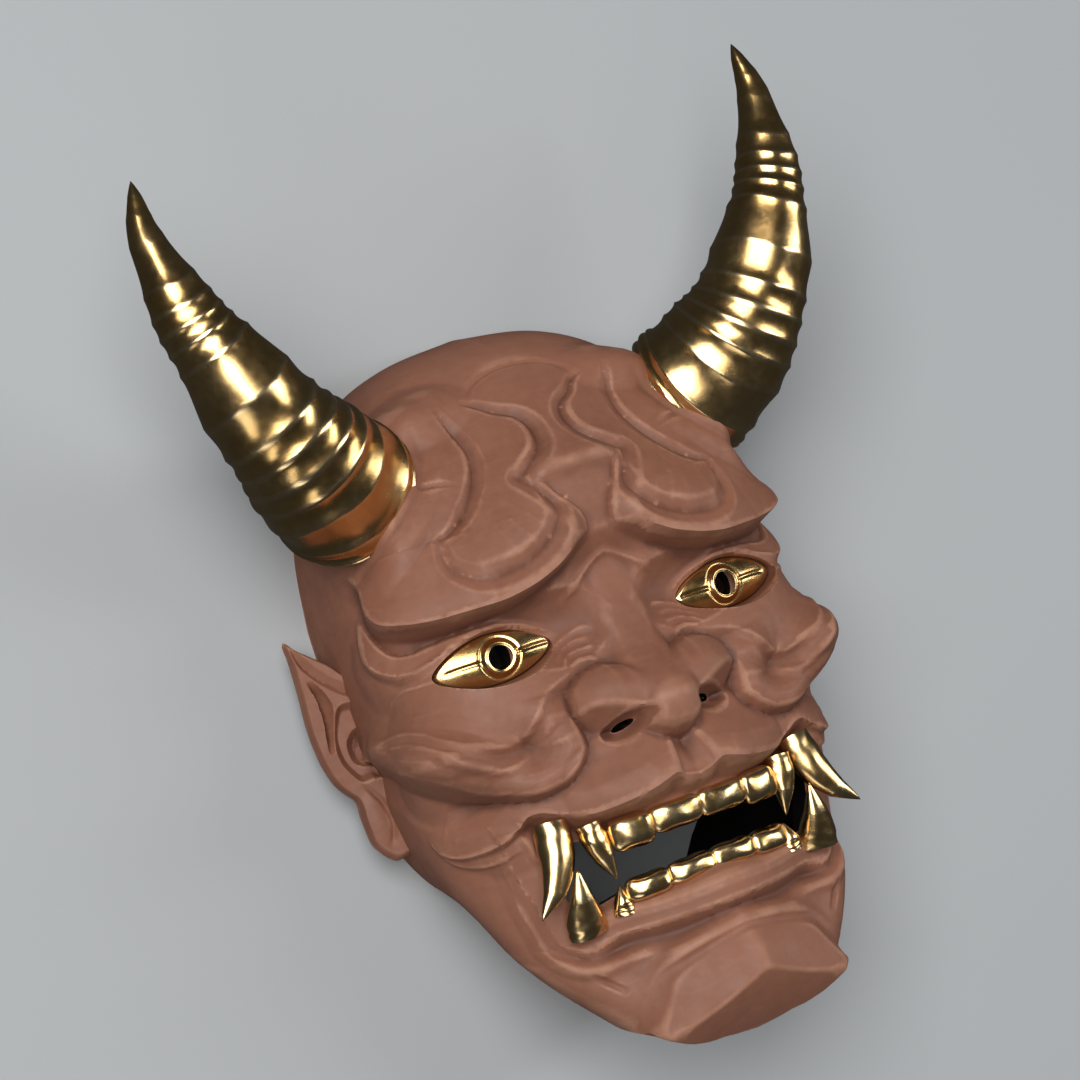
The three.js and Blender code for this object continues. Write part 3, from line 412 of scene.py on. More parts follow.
def lips(h, u, v):
    """Upper lip with the groove under the nose, mouth recess, and the lower lip round it"""
    h += swell(u, v, (19, -44), (21, 17), 4.6, power=0.9)
    h += swell(u, v, (58, -50), (16, 12), 1.8, power=1.1)
    shelf(h, u, v, LIP, spread=16, fade=[(0, 1), (0.4, 0.8), (1, 0)],
          height=[(0, 1.4), (0.1, 1.6), (0.2, 2.6), (0.45, 3), (0.6, 4), (0.7, 3.6), (0.85, 2.6), (1, 0)],
          drop=[(0, 5.5), (0.55, 5), (0.68, 2), (1, 1)])
    shelf(h, u, v, CURL, spread=8, drop=even(1.2), fade=[(0, 1), (0.3, 0.9), (1, 0)],
          height=[(0, 0), (0.3, 1.8), (0.8, 1.6), (1, 0)])
    half = lin(v, [(-50, 8), (-36, 5)])
    h -= 2.4 * ease((half - u) / 3) * ease((v + 51) / 4) * (v < -34)
    k, d, t = near(LIP, u, v, 60)
    upper = np.zeros_like(u)
    upper[k] = clamp(-d / 5)
    k, d, t = near(LOWER_LIP, u, v, 60)
    lower = np.zeros_like(u)
    lower[k] = clamp((-d - 7.5) / 4)
    inside = (v < -44) & (v > -94) & (u < 62)
    h -= np.where(inside, lin(u, MOUTH_DEPTH) * np.minimum(upper, lower), 0)
    k, d, t = near(LOWER_LIP, u, v, 12)
    section = np.where(d <= 0, lin(-d / 12, [(0, 1), (0.4, 1), (1, 0)]), clamp(1 - d / 3.4))
    h[k] += lin(t, [(0, 1.5), (0.2, 2.6), (0.45, 3.4), (0.7, 3), (1, 3)]) * section


def chin_lines(h, u, v):
    """Hollow under the lip, the roll beside the mouth, and the upper edge of the chin"""
    h -= swell(u, v, (18, -94.5), (36, 5), 2.2)
    ridge(h, u, v, ROLL, half=[(0, 3.4), (0.5, 4.4), (1, 3)],
          height=[(0, 0.6), (0.3, 1.8), (0.6, 2.4), (0.85, 1.6), (1, 0)])
    groove(h, u, v, JAW_CUT, left=even(1.6), right=even(1.6), depth=[(0, 0), (0.5, 1.4), (1, 0.6)])
    k, d, t = near(CHIN_TOP, u, v, 6)
    h[k] += lin(t, [(0, 2.2), (0.4, 2.4), (0.55, 1.2), (0.7, 0)]) * ease(1 - np.abs(d) / 5)


def relief(u, v):
    """Swelling out of the dome for every carved form"""
    h = np.zeros_like(u)
    for region in (forehead, eye_region, cheeks, lips, chin_lines):
        region(h, u, v)
    return h


def wing(x, y):
    """Round side of the nose, nearly level toward the middle"""
    out = np.abs(np.maximum(x - WING_START, 0) / WING_RUN) ** WING_POWER
    q = 1 - out - np.abs((y - WING_Y) / lin(x, WING_HALF)) ** WING_POWER
    top = WING_TOP - 0.17 * np.maximum(x - 6, 0) + WING_SWELL * np.maximum(q, 0) ** (1 / WING_POWER)
    return np.where(q > 0, top, FAR_BELOW)


def bridge(x, y):
    """Bridge of the nose with its flat top, and the wings"""
    side = smooth_max(x - lin(y, COLUMN), 0, 2.4)
    z = curve(y, NOSE) - lin(y, NOSE_ROUND) * x * x - side * curve(y, NOSE_SIDE)
    return smooth_max(z - 0.06 * np.maximum(0, y - 32) ** 2, wing(x, y), 1.8)


def nose(x, y):
    """Height of the nose, cut off below by the nostril plane"""
    edge = curve(x, NOSE_EDGE)
    plane = bridge(x, edge) + (y - edge) * lin(x, NOSE_UNDER)
    return smooth_min(bridge(x, y), plane, 0.9)


def chin(x, y):
    """Height of the chin: two facets that meet in a crest, and an underside that turns back"""
    up, down = y - CHIN_Y, CHIN_TIP_Y - y
    facet = CHIN_TOP_Z - 0.45 * np.sqrt(x * x + 4) - 0.1 * up - 3.2 * np.clip(up / 14, 0, 1.5) ** 2
    under = CHIN_TIP_Z - 0.69 * down - np.where(down > 0, 0.015 * down ** 2, 0) - 0.002 * x * x
    return smooth_min(facet, under, 0.7) - 1.2 * np.maximum(0, x - lin(y, CHIN_SIDE))


def straight_rise(q, u, v, s):
    """Chin and nose: both stand straight out of the face"""
    rise = np.zeros_like(u)
    k = np.where((v < -90) & (u < 52))[0]
    x, y, z = q[k].T
    inside = np.zeros(len(k))
    n, d, t = near(CHIN_TOP, u[k], v[k], 60)
    inside[n] = ease(-d / 5)
    rise[k] = (smooth_max(z, chin(x, y), 1.5) - z) * inside * ease((s[k] - 0.5) / 0.25)
    k = np.where((u < 45) & (v < 45) & (v > -42))[0]
    x, y, z = q[k].T
    rise[k] = smooth_max(z, nose(x, y), 1.0) - z
    rise[k] -= swell(x, y, NOSTRIL, (8.6, 4.2), 6, NOSTRIL_TURN, 1.0)
    return rise


def outward(u, v, e=0.4):
    """Direction out of the dome, from places a little way off on all sides"""
    return unit(np.cross(dome(u + e, v)[0] - dome(u - e, v)[0], dome(u, v + e)[0] - dome(u, v - e)[0]))


def face_points(u, v):
    """Points of the carved front for places on the flattened face"""
    a = np.abs(u)
    p, s = dome(a, v)
    way = unit(outward(a, v) + np.array([0, 0, 1.6]) * s[:, None])
    p = p + way * (relief(a, v) * clamp(s * 6))[:, None]
    p[:, 2] += straight_rise(p, a, v, s)
    p[:, 0] *= np.where(u < 0, -1, 1)
    return p


def hollow_points(u, v):
    """Points of the plain inside, a wall's thickness behind the dome"""
    a = np.abs(u)
    p, s = dome(a, v)
    h = sum(swell(a, v, centre, radii, height, power=1) for centre, radii, height in INSIDE_SWELLS)
    way = np.array([0, CENTRE_Y, 0]) - p
    way[:, 2] = 0
    run = clamp(np.hypot(a, v - CENTRE_Y) / 20) * clamp((1 - s) * 1.4 + 0.12)
    p = p + unit(way) * (WALL * run)[:, None]
    p[:, 2] = np.maximum(p[:, 2] + (h - FRONT_WALL) * clamp(s * 1.3), 0)
    p[:, 0] *= np.where(u < 0, -1, 1)
    return p


def sheet_places(columns, rows):
    """Places of a grid on the flattened face, closer together in front; the grid's edge is the rim"""
    a, b = np.meshgrid(np.linspace(-1, 1, columns + 1), np.linspace(-1, 1, rows + 1))
    x, y = a * np.sqrt(1 - b * b / 2), b * np.sqrt(1 - a * a / 2)
    r, angle = np.minimum(np.hypot(x, y), 1), np.arctan2(x, y)
    share = np.where(r < 0.8, r / 0.8 * 0.62, 0.62 + (r - 0.8) / 0.2 * 0.38)
    run = share * reach(angle)
    return (run * np.sin(angle)).ravel(), (CENTRE_Y + run * np.cos(angle)).ravel()


def numbers(columns, rows):
    return np.arange((rows + 1) * (columns + 1)).reshape(rows + 1, columns + 1)


def grid_faces(columns, rows):
    n = numbers(columns, rows)
    return np.stack([n[:-1, :-1], n[:-1, 1:], n[1:, 1:], n[1:, :-1]], -1).reshape(-1, 4)


def rim_loop(columns, rows):
    """Numbers of the grid's edge points, in turn round the rim"""
    n = numbers(columns, rows)
    return np.r_[n[0, :-1], n[:-1, -1], n[-1, :0:-1], n[:0:-1, 0]]


def split(quads, points, u, v):
    """Each four-sided face becomes two triangles along the diagonal that follows the form best"""
    real = face_points(u[quads].mean(1), v[quads].mean(1))
    p = points[quads]
    first = np.linalg.norm((p[:, 0] + p[:, 2]) / 2 - real, axis=1)
    second = np.linalg.norm((p[:, 1] + p[:, 3]) / 2 - real, axis=1)
    slant = (first < second)[:, None]
    one = np.where(slant, quads[:, [0, 1, 2]], quads[:, [0, 1, 3]])
    two = np.where(slant, quads[:, [0, 2, 3]], quads[:, [1, 2, 3]])
    return np.vstack([one, two])


def distance(line, u, v, far=30.0):
    """Signed distance from a line, at most far"""
    k, d, _ = near(line, u, v, far)
    out = np.full(len(u), far)
    out[k] = d
    return out


def snap(u, v, fixed):
    """Moves places onto the nearest carved edge, but never the fixed ones"""
    free = np.ones(len(u), bool)
    free[fixed] = False
    e = 0.05
    for line in EDGES:
        a = np.abs(u)
        k, d, t = near(line, a, v, 1)
        pick = (np.abs(d) < SNAP_REACH) & free[k] & (a[k] > 0.6) & (t > 0.02) & (t < 0.98)
        k, d = k[pick], d[pick]
        du = distance(line, a[k] + e, v[k]) - distance(line, a[k] - e, v[k])
        dv = distance(line, a[k], v[k] + e) - distance(line, a[k], v[k] - e)
        size = np.hypot(du, dv)
        ok = size > e
        k, d, du, dv, size = k[ok], d[ok], du[ok], dv[ok], size[ok]
        u[k] -= np.sign(u[k]) * d * du / size
        v[k] -= d * dv / size
        free[k] = False
    return u, v


class Nodes:
    """Small helper that adds and wires shader nodes"""
    def __init__(self, name):
        self.material = bpy.data.materials.new(name)
        self.material.use_nodes = True
        self.tree = self.material.node_tree
        self.shader = self.tree.nodes["Principled BSDF"]
        self.place = self.add("ShaderNodeTexCoord").outputs["Object"]

    def add(self, kind, **values):
        node = self.tree.nodes.new(kind)
        for key, value in values.items():
            setattr(node, key, value)
        return node

    def feed(self, node, sources):
        """Gives inputs, by name or number, a link from an output, a colour or a number"""
        for key, source in sources.items():
            if isinstance(source, tuple):
                node.inputs[key].default_value = (*source, 1)
            elif isinstance(source, (int, float)):
                node.inputs[key].default_value = source
            else:
                self.tree.links.new(source, node.inputs[key])

    def noise(self, scale, detail, rough, stretch=None):
        node = self.add("ShaderNodeTexNoise")
        source = self.place
        if stretch:
            mapping = self.add("ShaderNodeMapping")
            mapping.inputs["Scale"].default_value = stretch[0]
            mapping.inputs["Rotation"].default_value = stretch[1]
            self.feed(mapping, {"Vector": source})
            source = mapping.outputs["Vector"]
        self.feed(node, {"Scale": scale, "Detail": detail, "Roughness": rough, "Vector": source})
        return node.outputs["Fac"]

    def spread(self, source, low, high, start=0.0, end=1.0):
        node = self.add("ShaderNodeMapRange")
        self.feed(node, {"From Min": low, "From Max": high, "To Min": start, "To Max": end, "Value": source})
        return node.outputs["Result"]

    def mark(self, name):
        return self.add("ShaderNodeAttribute", attribute_name=name).outputs["Fac"]

    def math(self, kind, a, b):
        node = self.add("ShaderNodeMath", operation=kind)
        self.feed(node, {0: a, 1: b})
        return node.outputs[0]

    def mix(self, share, a, b):
        node = self.add("ShaderNodeMix", data_type="RGBA")
        self.feed(node, {0: share, 6: a, 7: b})
        return node.outputs[2]

    def bump(self, source, strength, distance, below=None):
        node = self.add("ShaderNodeBump")
        self.feed(node, {"Strength": strength, "Distance": distance, "Height": source})
        if below:
            self.feed(node, {"Normal": below})
        return node.outputs["Normal"]


# Colours, from painted shade in the hollows to painted highlight on the crests
CLAY_PAINTED_SHADE = (0.085, 0.03, 0.018)
CLAY_DARK = (0.205, 0.08, 0.047)
CLAY_LIGHT = (0.27, 0.111, 0.067)
CLAY_FLECK = (0.32, 0.144, 0.09)
CLAY_STREAK = (0.36, 0.174, 0.115)
CLAY_PAINTED_HIGHLIGHT = (0.46, 0.238, 0.155)
GOLD_PAINTED_SHADE = (0.24, 0.12, 0.04)
GOLD_DARK = (0.66, 0.40, 0.135)
GOLD_LIGHT = (0.82, 0.56, 0.25)
GOLD_PAINTED_HIGHLIGHT = (0.92, 0.74, 0.45)
# Near-black painted shade for the inside and the walls of the openings
NEAR_BLACK_SHADE_COLOURS = (0.004, 0.003, 0.003), (0.009, 0.006, 0.005)
FLOOR_COLOURS = (0.405, 0.425, 0.444), (0.425, 0.446, 0.466)
SKY_COLOUR = (0.80, 0.85, 0.90, 1)


def clay_material():
    """Matt clay: cloudy, flecked and streaked, with painted shade in the hollows and painted highlight on the
    crests
    """
    m = Nodes("clay_red")
    cloud = m.spread(m.noise(16, 5, 0.55), 0.32, 0.7)
    colour = m.mix(cloud, CLAY_DARK, CLAY_LIGHT)
    fine = m.spread(m.noise(260, 6, 0.62), 0.3, 0.72)
    colour = m.mix(m.math("MULTIPLY", fine, 0.3), colour, CLAY_FLECK)
    streak = m.spread(m.noise(60, 4, 0.6, ((1, 9, 1), (0, 0, 0.5))), 0.56, 0.8)
    colour = m.mix(m.math("MULTIPLY", streak, 0.2), colour, CLAY_STREAK)
    # Painted shade: the clay turns darker where the surface sinks into hollows
    colour = m.mix(m.spread(m.mark("hollow"), -0.15, -1.3, 0, 0.75), colour, CLAY_PAINTED_SHADE)
    # Painted highlight: the clay turns paler on crests, broken up by noise
    clay_highlight = m.math("MULTIPLY", m.spread(m.mark("crest"), 0.03, 0.13), m.spread(m.noise(90, 4, 0.6), 0.25, 0.6))
    colour = m.mix(m.math("MULTIPLY", clay_highlight, 0.6), colour, CLAY_PAINTED_HIGHLIGHT)
    rough = m.spread(m.noise(120, 5, 0.6), 0.3, 0.7, 0.5, 0.72)
    grain = m.bump(m.noise(1500, 5, 0.7), 0.25, 0.00012)
    tool = m.bump(m.noise(70, 3, 0.5), 0.25, 0.0012, grain)
    m.feed(m.shader, {"Base Color": colour, "Roughness": rough, "Specular IOR Level": 0.42, "Normal": tool})
    return m.material


def gold_material():
    """Polished gilding: slightly uneven, with fine scratches, painted shade in the hollows and painted
    highlight on the crests
    """
    m = Nodes("gold_polished")
    cloud = m.spread(m.noise(55, 4, 0.6), 0.3, 0.72)
    colour = m.mix(cloud, GOLD_DARK, GOLD_LIGHT)
    # Painted shade: the gilding turns brown where the surface sinks into hollows
    colour = m.mix(m.spread(m.mark("hollow"), -0.15, -0.8, 0, 0.35), colour, GOLD_PAINTED_SHADE)
    # Painted highlight: the gilding turns pale on crests
    gold_highlight = m.math("MULTIPLY", m.spread(m.mark("crest"), 0.01, 0.06), 0.5)
    colour = m.mix(gold_highlight, colour, GOLD_PAINTED_HIGHLIGHT)
    rough = m.spread(m.noise(180, 5, 0.62), 0.3, 0.75, 0.16, 0.3)
    scratch = m.bump(m.noise(500, 4, 0.6, ((1, 6, 1), (0, 0, 0.4))), 0.12, 0.0002)
    wave = m.bump(m.noise(70, 2, 0.5), 0.2, 0.0010, scratch)
    m.feed(m.shader, {"Base Color": colour, "Metallic": 1.0, "Roughness": rough, "Normal": wave})
    return m.material


def floor_material():
    m = Nodes("floor_pale")
    m.feed(m.shader, {"Base Color": m.mix(m.noise(6, 3, 0.5), *FLOOR_COLOURS), "Roughness": 0.85})
    return m.material


def shade_paint_material():
    """Nearly black painted shade for the hollow inside and the cut walls of the openings"""
    m = Nodes("inside_painted_shade")
    colour = m.mix(m.spread(m.noise(40, 4, 0.6), 0.3, 0.7), *NEAR_BLACK_SHADE_COLOURS)
    grain = m.bump(m.noise(140, 3, 0.6), 0.3, 0.001)
    m.feed(m.shader, {"Base Color": colour, "Roughness": 0.9, "Specular IOR Level": 0.1, "Normal": grain})
    return m.material


CLAY, GOLD, SHADE_PAINT = clay_material(), gold_material(), shade_paint_material()


def placed(name, data):
    """New object in the scene"""
    thing = bpy.data.objects.new(name, data)
    bpy.context.collection.objects.link(thing)
    return thing


def make_mesh(name, points, faces, dark=None):
    """Object from points in millimetres; dark says, for all faces or for each, if it takes the near-black
    painted shade
    """
    points = np.asarray(points, float) * MM + np.array([0, SHIFT * MM, 0])
    mesh = bpy.data.meshes.new(name)
    mesh.from_pydata(points.tolist(), [], [tuple(int(i) for i in f) for f in faces])
    mesh.update()
    if dark is not None:
        mesh.materials.append(CLAY)
        mesh.materials.append(SHADE_PAINT)
        mesh.polygons.foreach_set("material_index", np.full(len(mesh.polygons), dark))
    return placed(name, mesh)


def loft(rings):
    """Closed body through rings of points, capped with a point at both ends"""
    n = len(rings[0])
    points = [p for ring in rings for p in ring]
    faces = []
    for i in range(len(rings) - 1):
        for k in range(n):
            a, b = i * n + k, i * n + (k + 1) % n
            faces.append((a, b, b + n, a + n))
    first, last, end = len(points), len(points) + 1, (len(rings) - 1) * n
    points += [np.mean(rings[0], axis=0), np.mean(rings[-1], axis=0)]
    for k in range(n):
        faces.append((first, (k + 1) % n, k))
        faces.append((last, end + k, end + (k + 1) % n))
    return points, faces


def same(points, faces):
    return points, faces


def mirrored(points, faces):
    return [(-p[0], p[1], p[2]) for p in points], [tuple(reversed(f)) for f in faces]


TIP_SHARES = (0.35, 0.65, 0.88)


def taper(axis, tip, sides, steps, carve):
    """Round body that thins along a bent axis to its tip; carve changes the radius by place"""
    path = spline([(*r, r[3]) if len(r) == 4 else r for r in axis], steps)
    across = np.array([1.0, 0, 0])
    rings = []
    turn = np.arange(sides) * 2 * np.pi / sides
    for i, (x, y, z, rx, rz) in enumerate(path):
        a, b = path[max(0, i - 1)], path[min(len(path) - 1, i + 1)]
        way = (b - a)[:3] / np.linalg.norm((b - a)[:3])
        across = across - way * (across @ way)
        across /= np.linalg.norm(across)
        more = carve(i / (len(path) - 1), turn)
        ring = np.array([x, y, z]) + np.outer((rx + more) * np.cos(turn), across)
        rings.append(ring + np.outer((rz + more) * np.sin(turn), np.cross(way, across)))
    last = rings[-1]
    middle = last.mean(0)
    tip = np.array(tip, float)
    for share in TIP_SHARES:
        rings.append(middle + (tip - path[-1][:3]) * share + (last - middle) * (1 - share) ** 0.85)
    points, faces = loft(rings)
    points[-1] = tip
    return points, faces


def prism(outline, low, high):
    return loft([[(x, y, z) for x, y in outline] for z in (low, high)])


def both_sides(half):
    return ([tuple(p) for p in half] + [(-x, y) for x, y in half[-2:0:-1]])[::-1]


def outward_faces(piece):
    bm = bmesh.new()
    bm.from_mesh(piece.data)
    bmesh.ops.recalc_face_normals(bm, faces=bm.faces)
    bm.to_mesh(piece.data)
    bm.free()


def cut(piece, cutters):
    """Cut bodies out of a piece for good"""
    for cutter in cutters:
        tool = make_mesh("tool", *cutter)
        outward_faces(tool)
        mod = piece.modifiers.new("cut", "BOOLEAN")
        mod.object = tool
        mod.operation = "DIFFERENCE"
        mod.solver = "MANIFOLD"
        bpy.context.view_layer.objects.active = piece
        bpy.ops.object.modifier_apply(modifier="cut")
        bpy.data.objects.remove(tool)


# Mouth opening, half of its outline
MOUTH = [(0, -60), (10, -59.7), (18, -60), (24, -60.3), (30, -59.5), (37, -58), (42, -57), (46, -58),
         (48, -61), (48, -66), (46.6, -72), (45, -76), (43.4, -79), (41, -80.5), (34, -79), (27, -77.4),
         (20, -76.5), (10, -75.8), (0, -75.5)]
# Axes of the horn and the pointed teeth: x, y, z, half width and, where it differs, half depth
HORN = [(65, 70.6, 47, 24.4), (70, 74, 53, 24.6), (77, 80, 60, 22.8), (85, 89.5, 67, 20.3),
        (94, 104, 72, 17.2), (101, 119, 75, 14), (106, 132, 75.7, 11.4), (109.5, 147, 75.2, 8.3),
        (111.5, 162, 74.6, 5.2), (110.5, 174, 74.2, 2.2)]
HORN_TIP = (110, 179, 74)
TUSK = [(45.8, -49.5, 75, 5.6, 4.6), (46.6, -55.5, 76, 6.2, 4.8), (49, -63, 77.5, 5.4, 4.2),
        (53.4, -70.5, 78.6, 3.6, 3)]
TUSK_TIP = (60.2, -76.6, 79.5)
UPPER_FANG = [(35.4, -53.5, 79.5, 4.4, 3.8), (35, -59, 80, 4.4, 3.8), (33.8, -65, 80.3, 3.2, 3)]
UPPER_FANG_TIP = (31.9, -72.7, 80)
LOWER_FANG = [(43.6, -86, 72.5, 7, 4.6), (44, -81, 74.2, 6.6, 4.6), (44.3, -74.5, 77, 4, 3.4)]
LOWER_FANG_TIP = (43.7, -65.4, 79.7)
SMALL_TOOTH = [(31.6, -84, 77, 3.8, 3.2), (31.4, -80, 77.4, 3.2, 3)]
SMALL_TOOTH_TIP = (30.9, -74.6, 77.8)
# Front teeth: left and right x, root and edge y, left and right z
UPPER_BLOCKS = [(0, 16.9, -54.5, -63.6, 86.4, 85), (16.9, 30.4, -54.5, -65, 84.8, 81.4)]
LOWER_BLOCKS = [(0, 15.6, -81, -73.4, 83.4, 82.4), (15.6, 29.6, -81.5, -73.8, 82.2, 78.6)]
BLOCK_DEPTH = 3.2
TOOTH_BOW = 0.5
TOOTH_LAP = 0.8
TOOTH_SIDES = 44
TOOTH_RINGS = 22
# Eye plates
EYE_CENTRE = (43.8, 5.0)
EYE_HALF = (19.8, 8.0)
EYE_CORNER_Y = 4.6
EYE_POINTED = 0.3
EYE_THICK = 3.0
EYE_Z = 70.7
EYE_IN = 24.3
EYE_SLOPE = 0.175
EYE_BULGE = 4.5
EYE_BULGE_SIZE = (20.5, 10)
PUPIL = (42.2, 4.8)
PUPIL_RADIUS = 4.0


def eye_height(x, y):
    bulge = EYE_BULGE * clamp(1 - oval(x, y, EYE_CENTRE, EYE_BULGE_SIZE))
    return EYE_Z - EYE_SLOPE * (x - EYE_IN) + bulge


def eye_ring(share, count, grow=0.0):
    """Places on a ring round the pupil: its edge at share 0, the edge of the almond at share 1"""
    t = -2 * np.pi * np.arange(count) / count
    cx = np.cos(t)
    tall = (EYE_HALF[1] + grow) * np.sin(t) * (1 - EYE_POINTED * cx * cx)
    ex = EYE_CENTRE[0] + (EYE_HALF[0] + grow) * cx
    ey = EYE_CENTRE[1] + tall - (EYE_CENTRE[1] - EYE_CORNER_Y) * np.abs(cx)
    hole = PUPIL_RADIUS - grow
    px, py = PUPIL[0] + hole * cx, PUPIL[1] + hole * np.sin(t)
    return px + (ex - px) * share, py + (ey - py) * share


def closed_rings(rings):
    """Body whose section is a closed loop, carried round a hole"""
    n, m = len(rings[0]), len(rings)
    faces = []
    for i in range(m):
        a, b = i * n, (i + 1) % m * n
        for k in range(n):
            j = (k + 1) % n
            faces.append((a + k, b + k, b + j, a + j))
    return [p for ring in rings for p in ring], faces


def bead(distance, height, place, half):
    """Rounded ridge at a distance"""
    return height * np.exp(-((distance - place) / half) ** 2)


def eye_plate():
    """Bulged almond with a raised ring round the pupil and a crease out to both corners"""
    n, m = (160, 40) if FINE else (80, 20)
    rings = []
    for share in (0.0, 0.5, 1.0):
        x, y = eye_ring(share, n, -1.8 if share == 0 else 0)
        rings.append(np.stack([x, y, eye_height(x, y) - EYE_THICK], 1))
    for share in np.linspace(1, 0, m) ** 1.25:
        x, y = eye_ring(share, n)
        away = np.hypot(x - PUPIL[0], y - PUPIL[1]) - PUPIL_RADIUS
        z = eye_height(x, y) + bead(away, 0.55, 0.9, 0.75) - bead(away, 0.45, 2.4, 0.7)
        far = np.abs(x - PUPIL[0])
        crease = 4.7 + 0.36 * np.sin(clamp((far - 4) / 16) * np.pi)
        z = z - bead(y, 0.42, crease, 0.7) * ease((far - 5.5) / 2) * ease((19 - far) / 3)
        z = z - 0.7 * ease((share - 0.93) / 0.07)
        rings.append(np.stack([x, y, z], 1))
    return closed_rings(rings)


def eye_pocket():
    """Body that cuts the seat of an eye plate, opening wider toward the front"""
    x0, y0 = eye_ring(1, 72, 0.35)
    x1, y1 = eye_ring(1, 72, 1.2)
    inner, outer = eye_height(x0, y0), eye_height(x1, y1)
    levels = [(x0, y0, inner - EYE_THICK - 0.4), (x0, y0, inner + 0.3),
              (x1, y1, outer + 3), (x1, y1, outer + 14)]
    return loft([np.stack(level, 1) for level in reversed(levels)])


def turned(x, y, angle):
    return x * math.cos(angle) - y * math.sin(angle), x * math.sin(angle) + y * math.cos(angle)


def tooth(block, wear):
    """Front tooth between two x edges, from root to cutting edge: a rounded, slightly uneven pillow"""
    x0, x1, root, tip, z0, z1 = block
    t = 2 * np.pi * np.arange(TOOTH_SIDES) / TOOTH_SIDES
    across = np.sign(np.cos(t)) * np.abs(np.cos(t)) ** 0.6
    deep = np.sign(np.sin(t)) * np.abs(np.sin(t)) ** 0.8
    way = 1 if tip > root else -1
    rings = []
    for share in (1 - np.cos(np.linspace(0.02, 0.98, TOOTH_RINGS) * np.pi)) / 2:
        off = abs(2 * share - 1)
        size = (1 - off ** 4.5) ** (1 / 4.5) * (1 - 0.06 * share)
        thick = (1 - off ** 2.6) ** (1 / 2.6)
        uneven = 0.25 * np.sin(across * 5 + share * 3 + TOOTH_BOW * 5)
        x = ((x1 - x0) / 2 + TOOTH_LAP) * across * size
        z = BLOCK_DEPTH * deep * thick + TOOTH_BOW * (1 - across ** 2) - uneven
        y = root + (tip - root) * share + way * wear * share * np.sin(across * 2.2 + TOOTH_BOW * 9)
        x, z = turned(x, z, math.atan2(z1 - z0, x1 - x0))
        rings.append(np.stack([(x0 + x1) / 2 + x, y, (z0 + z1) / 2 + z], 1))
    return loft(rings[::-1] if way > 0 else rings)


def joined(name, *bodies):
    points, faces = [], []
    for p, f in bodies:
        faces += [tuple(i + len(points) for i in q) for q in f]
        points += [tuple(q) for q in p]
    return make_mesh(name, points, faces)


# Ear: outline and carved lines, seen from the front
EAR = [(70, 18), (74.9, 12.2), (77.5, 16.5), (80.8, 21), (84.9, 25), (88.5, 28.3), (91.6, 32), (91.6, 27),
       (91.6, 22.9), (92, 12.7), (92.6, 3.8), (92.4, -4.2), (91.6, -11.2), (89.8, -17.7), (87.2, -22),
       (85, -25), (84.6, -28.5), (84.8, -33.5), (84.2, -40.4), (82, -44.5), (78.9, -47.4), (76, -47.4),
       (72.5, -46.2), (66, -42)]
EAR_CREST = [(91.2, 31.3), (88.9, 22.9), (84.6, 16.3), (80.6, 12.1), (76.9, 9.1), (74.9, 6.7)]
SCAPHA = [(88.8, 17.5), (86.4, 11), (86, 5), (87.4, -2), (88.6, -8)]
ANTIHELIX = [(75.4, 5.6), (78.3, 7), (82.3, 6.6), (85.2, 2), (87.1, -4), (86.8, -11.4), (84.4, -16.9),
             (82, -19.6), (78.4, -19.6)]
CONCHA = [(76, -1.5), (79.6, -2.4), (82.4, -6), (82.4, -11.6), (80, -14.6), (76.8, -15.6)]
LOBE_EDGE = [(82.6, -19.6), (79.9, -24.3), (77.9, -28.6), (77, -34.2), (78, -39), (80.4, -42.6)]
TRAGUS = [(74.6, -8), (77, -10.4), (77.4, -12.4)]
EAR_MIDDLE = (80.0, -8.0)
EAR_Z = 15.0
EAR_IN = 2.2
EAR_RISE = 4.2
EAR_BACK = ((0.3, -3.2), (0.9, -3.2), (0.98, -1.6), (1.0, 0.2), (0.998, 1.1))


def ear_relief(x, y, share):
    """Height of the ear over its back, for places on its outline drawn in to a share"""
    h = np.full_like(x, EAR_RISE) - 2.2 * clamp((share - 0.93) / 0.055) ** 2
    groove(h, x, y, EAR_CREST, left=[(0, 1.2), (1, 1.6)], right=[(0, 2), (1, 3)],
           depth=[(0, 0.8), (0.3, 2.0), (1, 1.4)])
    hollow = [(0, 1), (0.4, 2.2), (1, 1)]
    groove(h, x, y, SCAPHA, left=hollow, right=hollow, depth=[(0, 0), (0.2, 4.2), (0.8, 4.2), (1, 0)], bend=0.7)
    k, d, t = near(ANTIHELIX, x, y, 14)
    h[k] -= 3.2 * clamp(-d / 2.4) * (x[k] < 88) * ease((y[k] + 24) / 3) * ease((9 - y[k]) / 2)
    k, d, t = near(CONCHA, x, y, 9)
    h[k] -= 4.2 * clamp(-d / 3) * ease((y[k] + 18) / 2) * ease((1 - y[k]) / 2)
    ridge(h, x, y, TRAGUS, half=even(2), height=[(0, 1.6), (1, 2)], bend=0.7)
    groove(h, x, y, LOBE_EDGE, left=even(1.4), right=even(1.2), depth=[(0, 0), (0.2, 1), (0.8, 0.9), (1, 0)])
    h += swell(x, y, (81.6, -33), (4.4, 11), 0.9) + swell(x, y, (75, -34), (4, 12), 1.4)
    return h


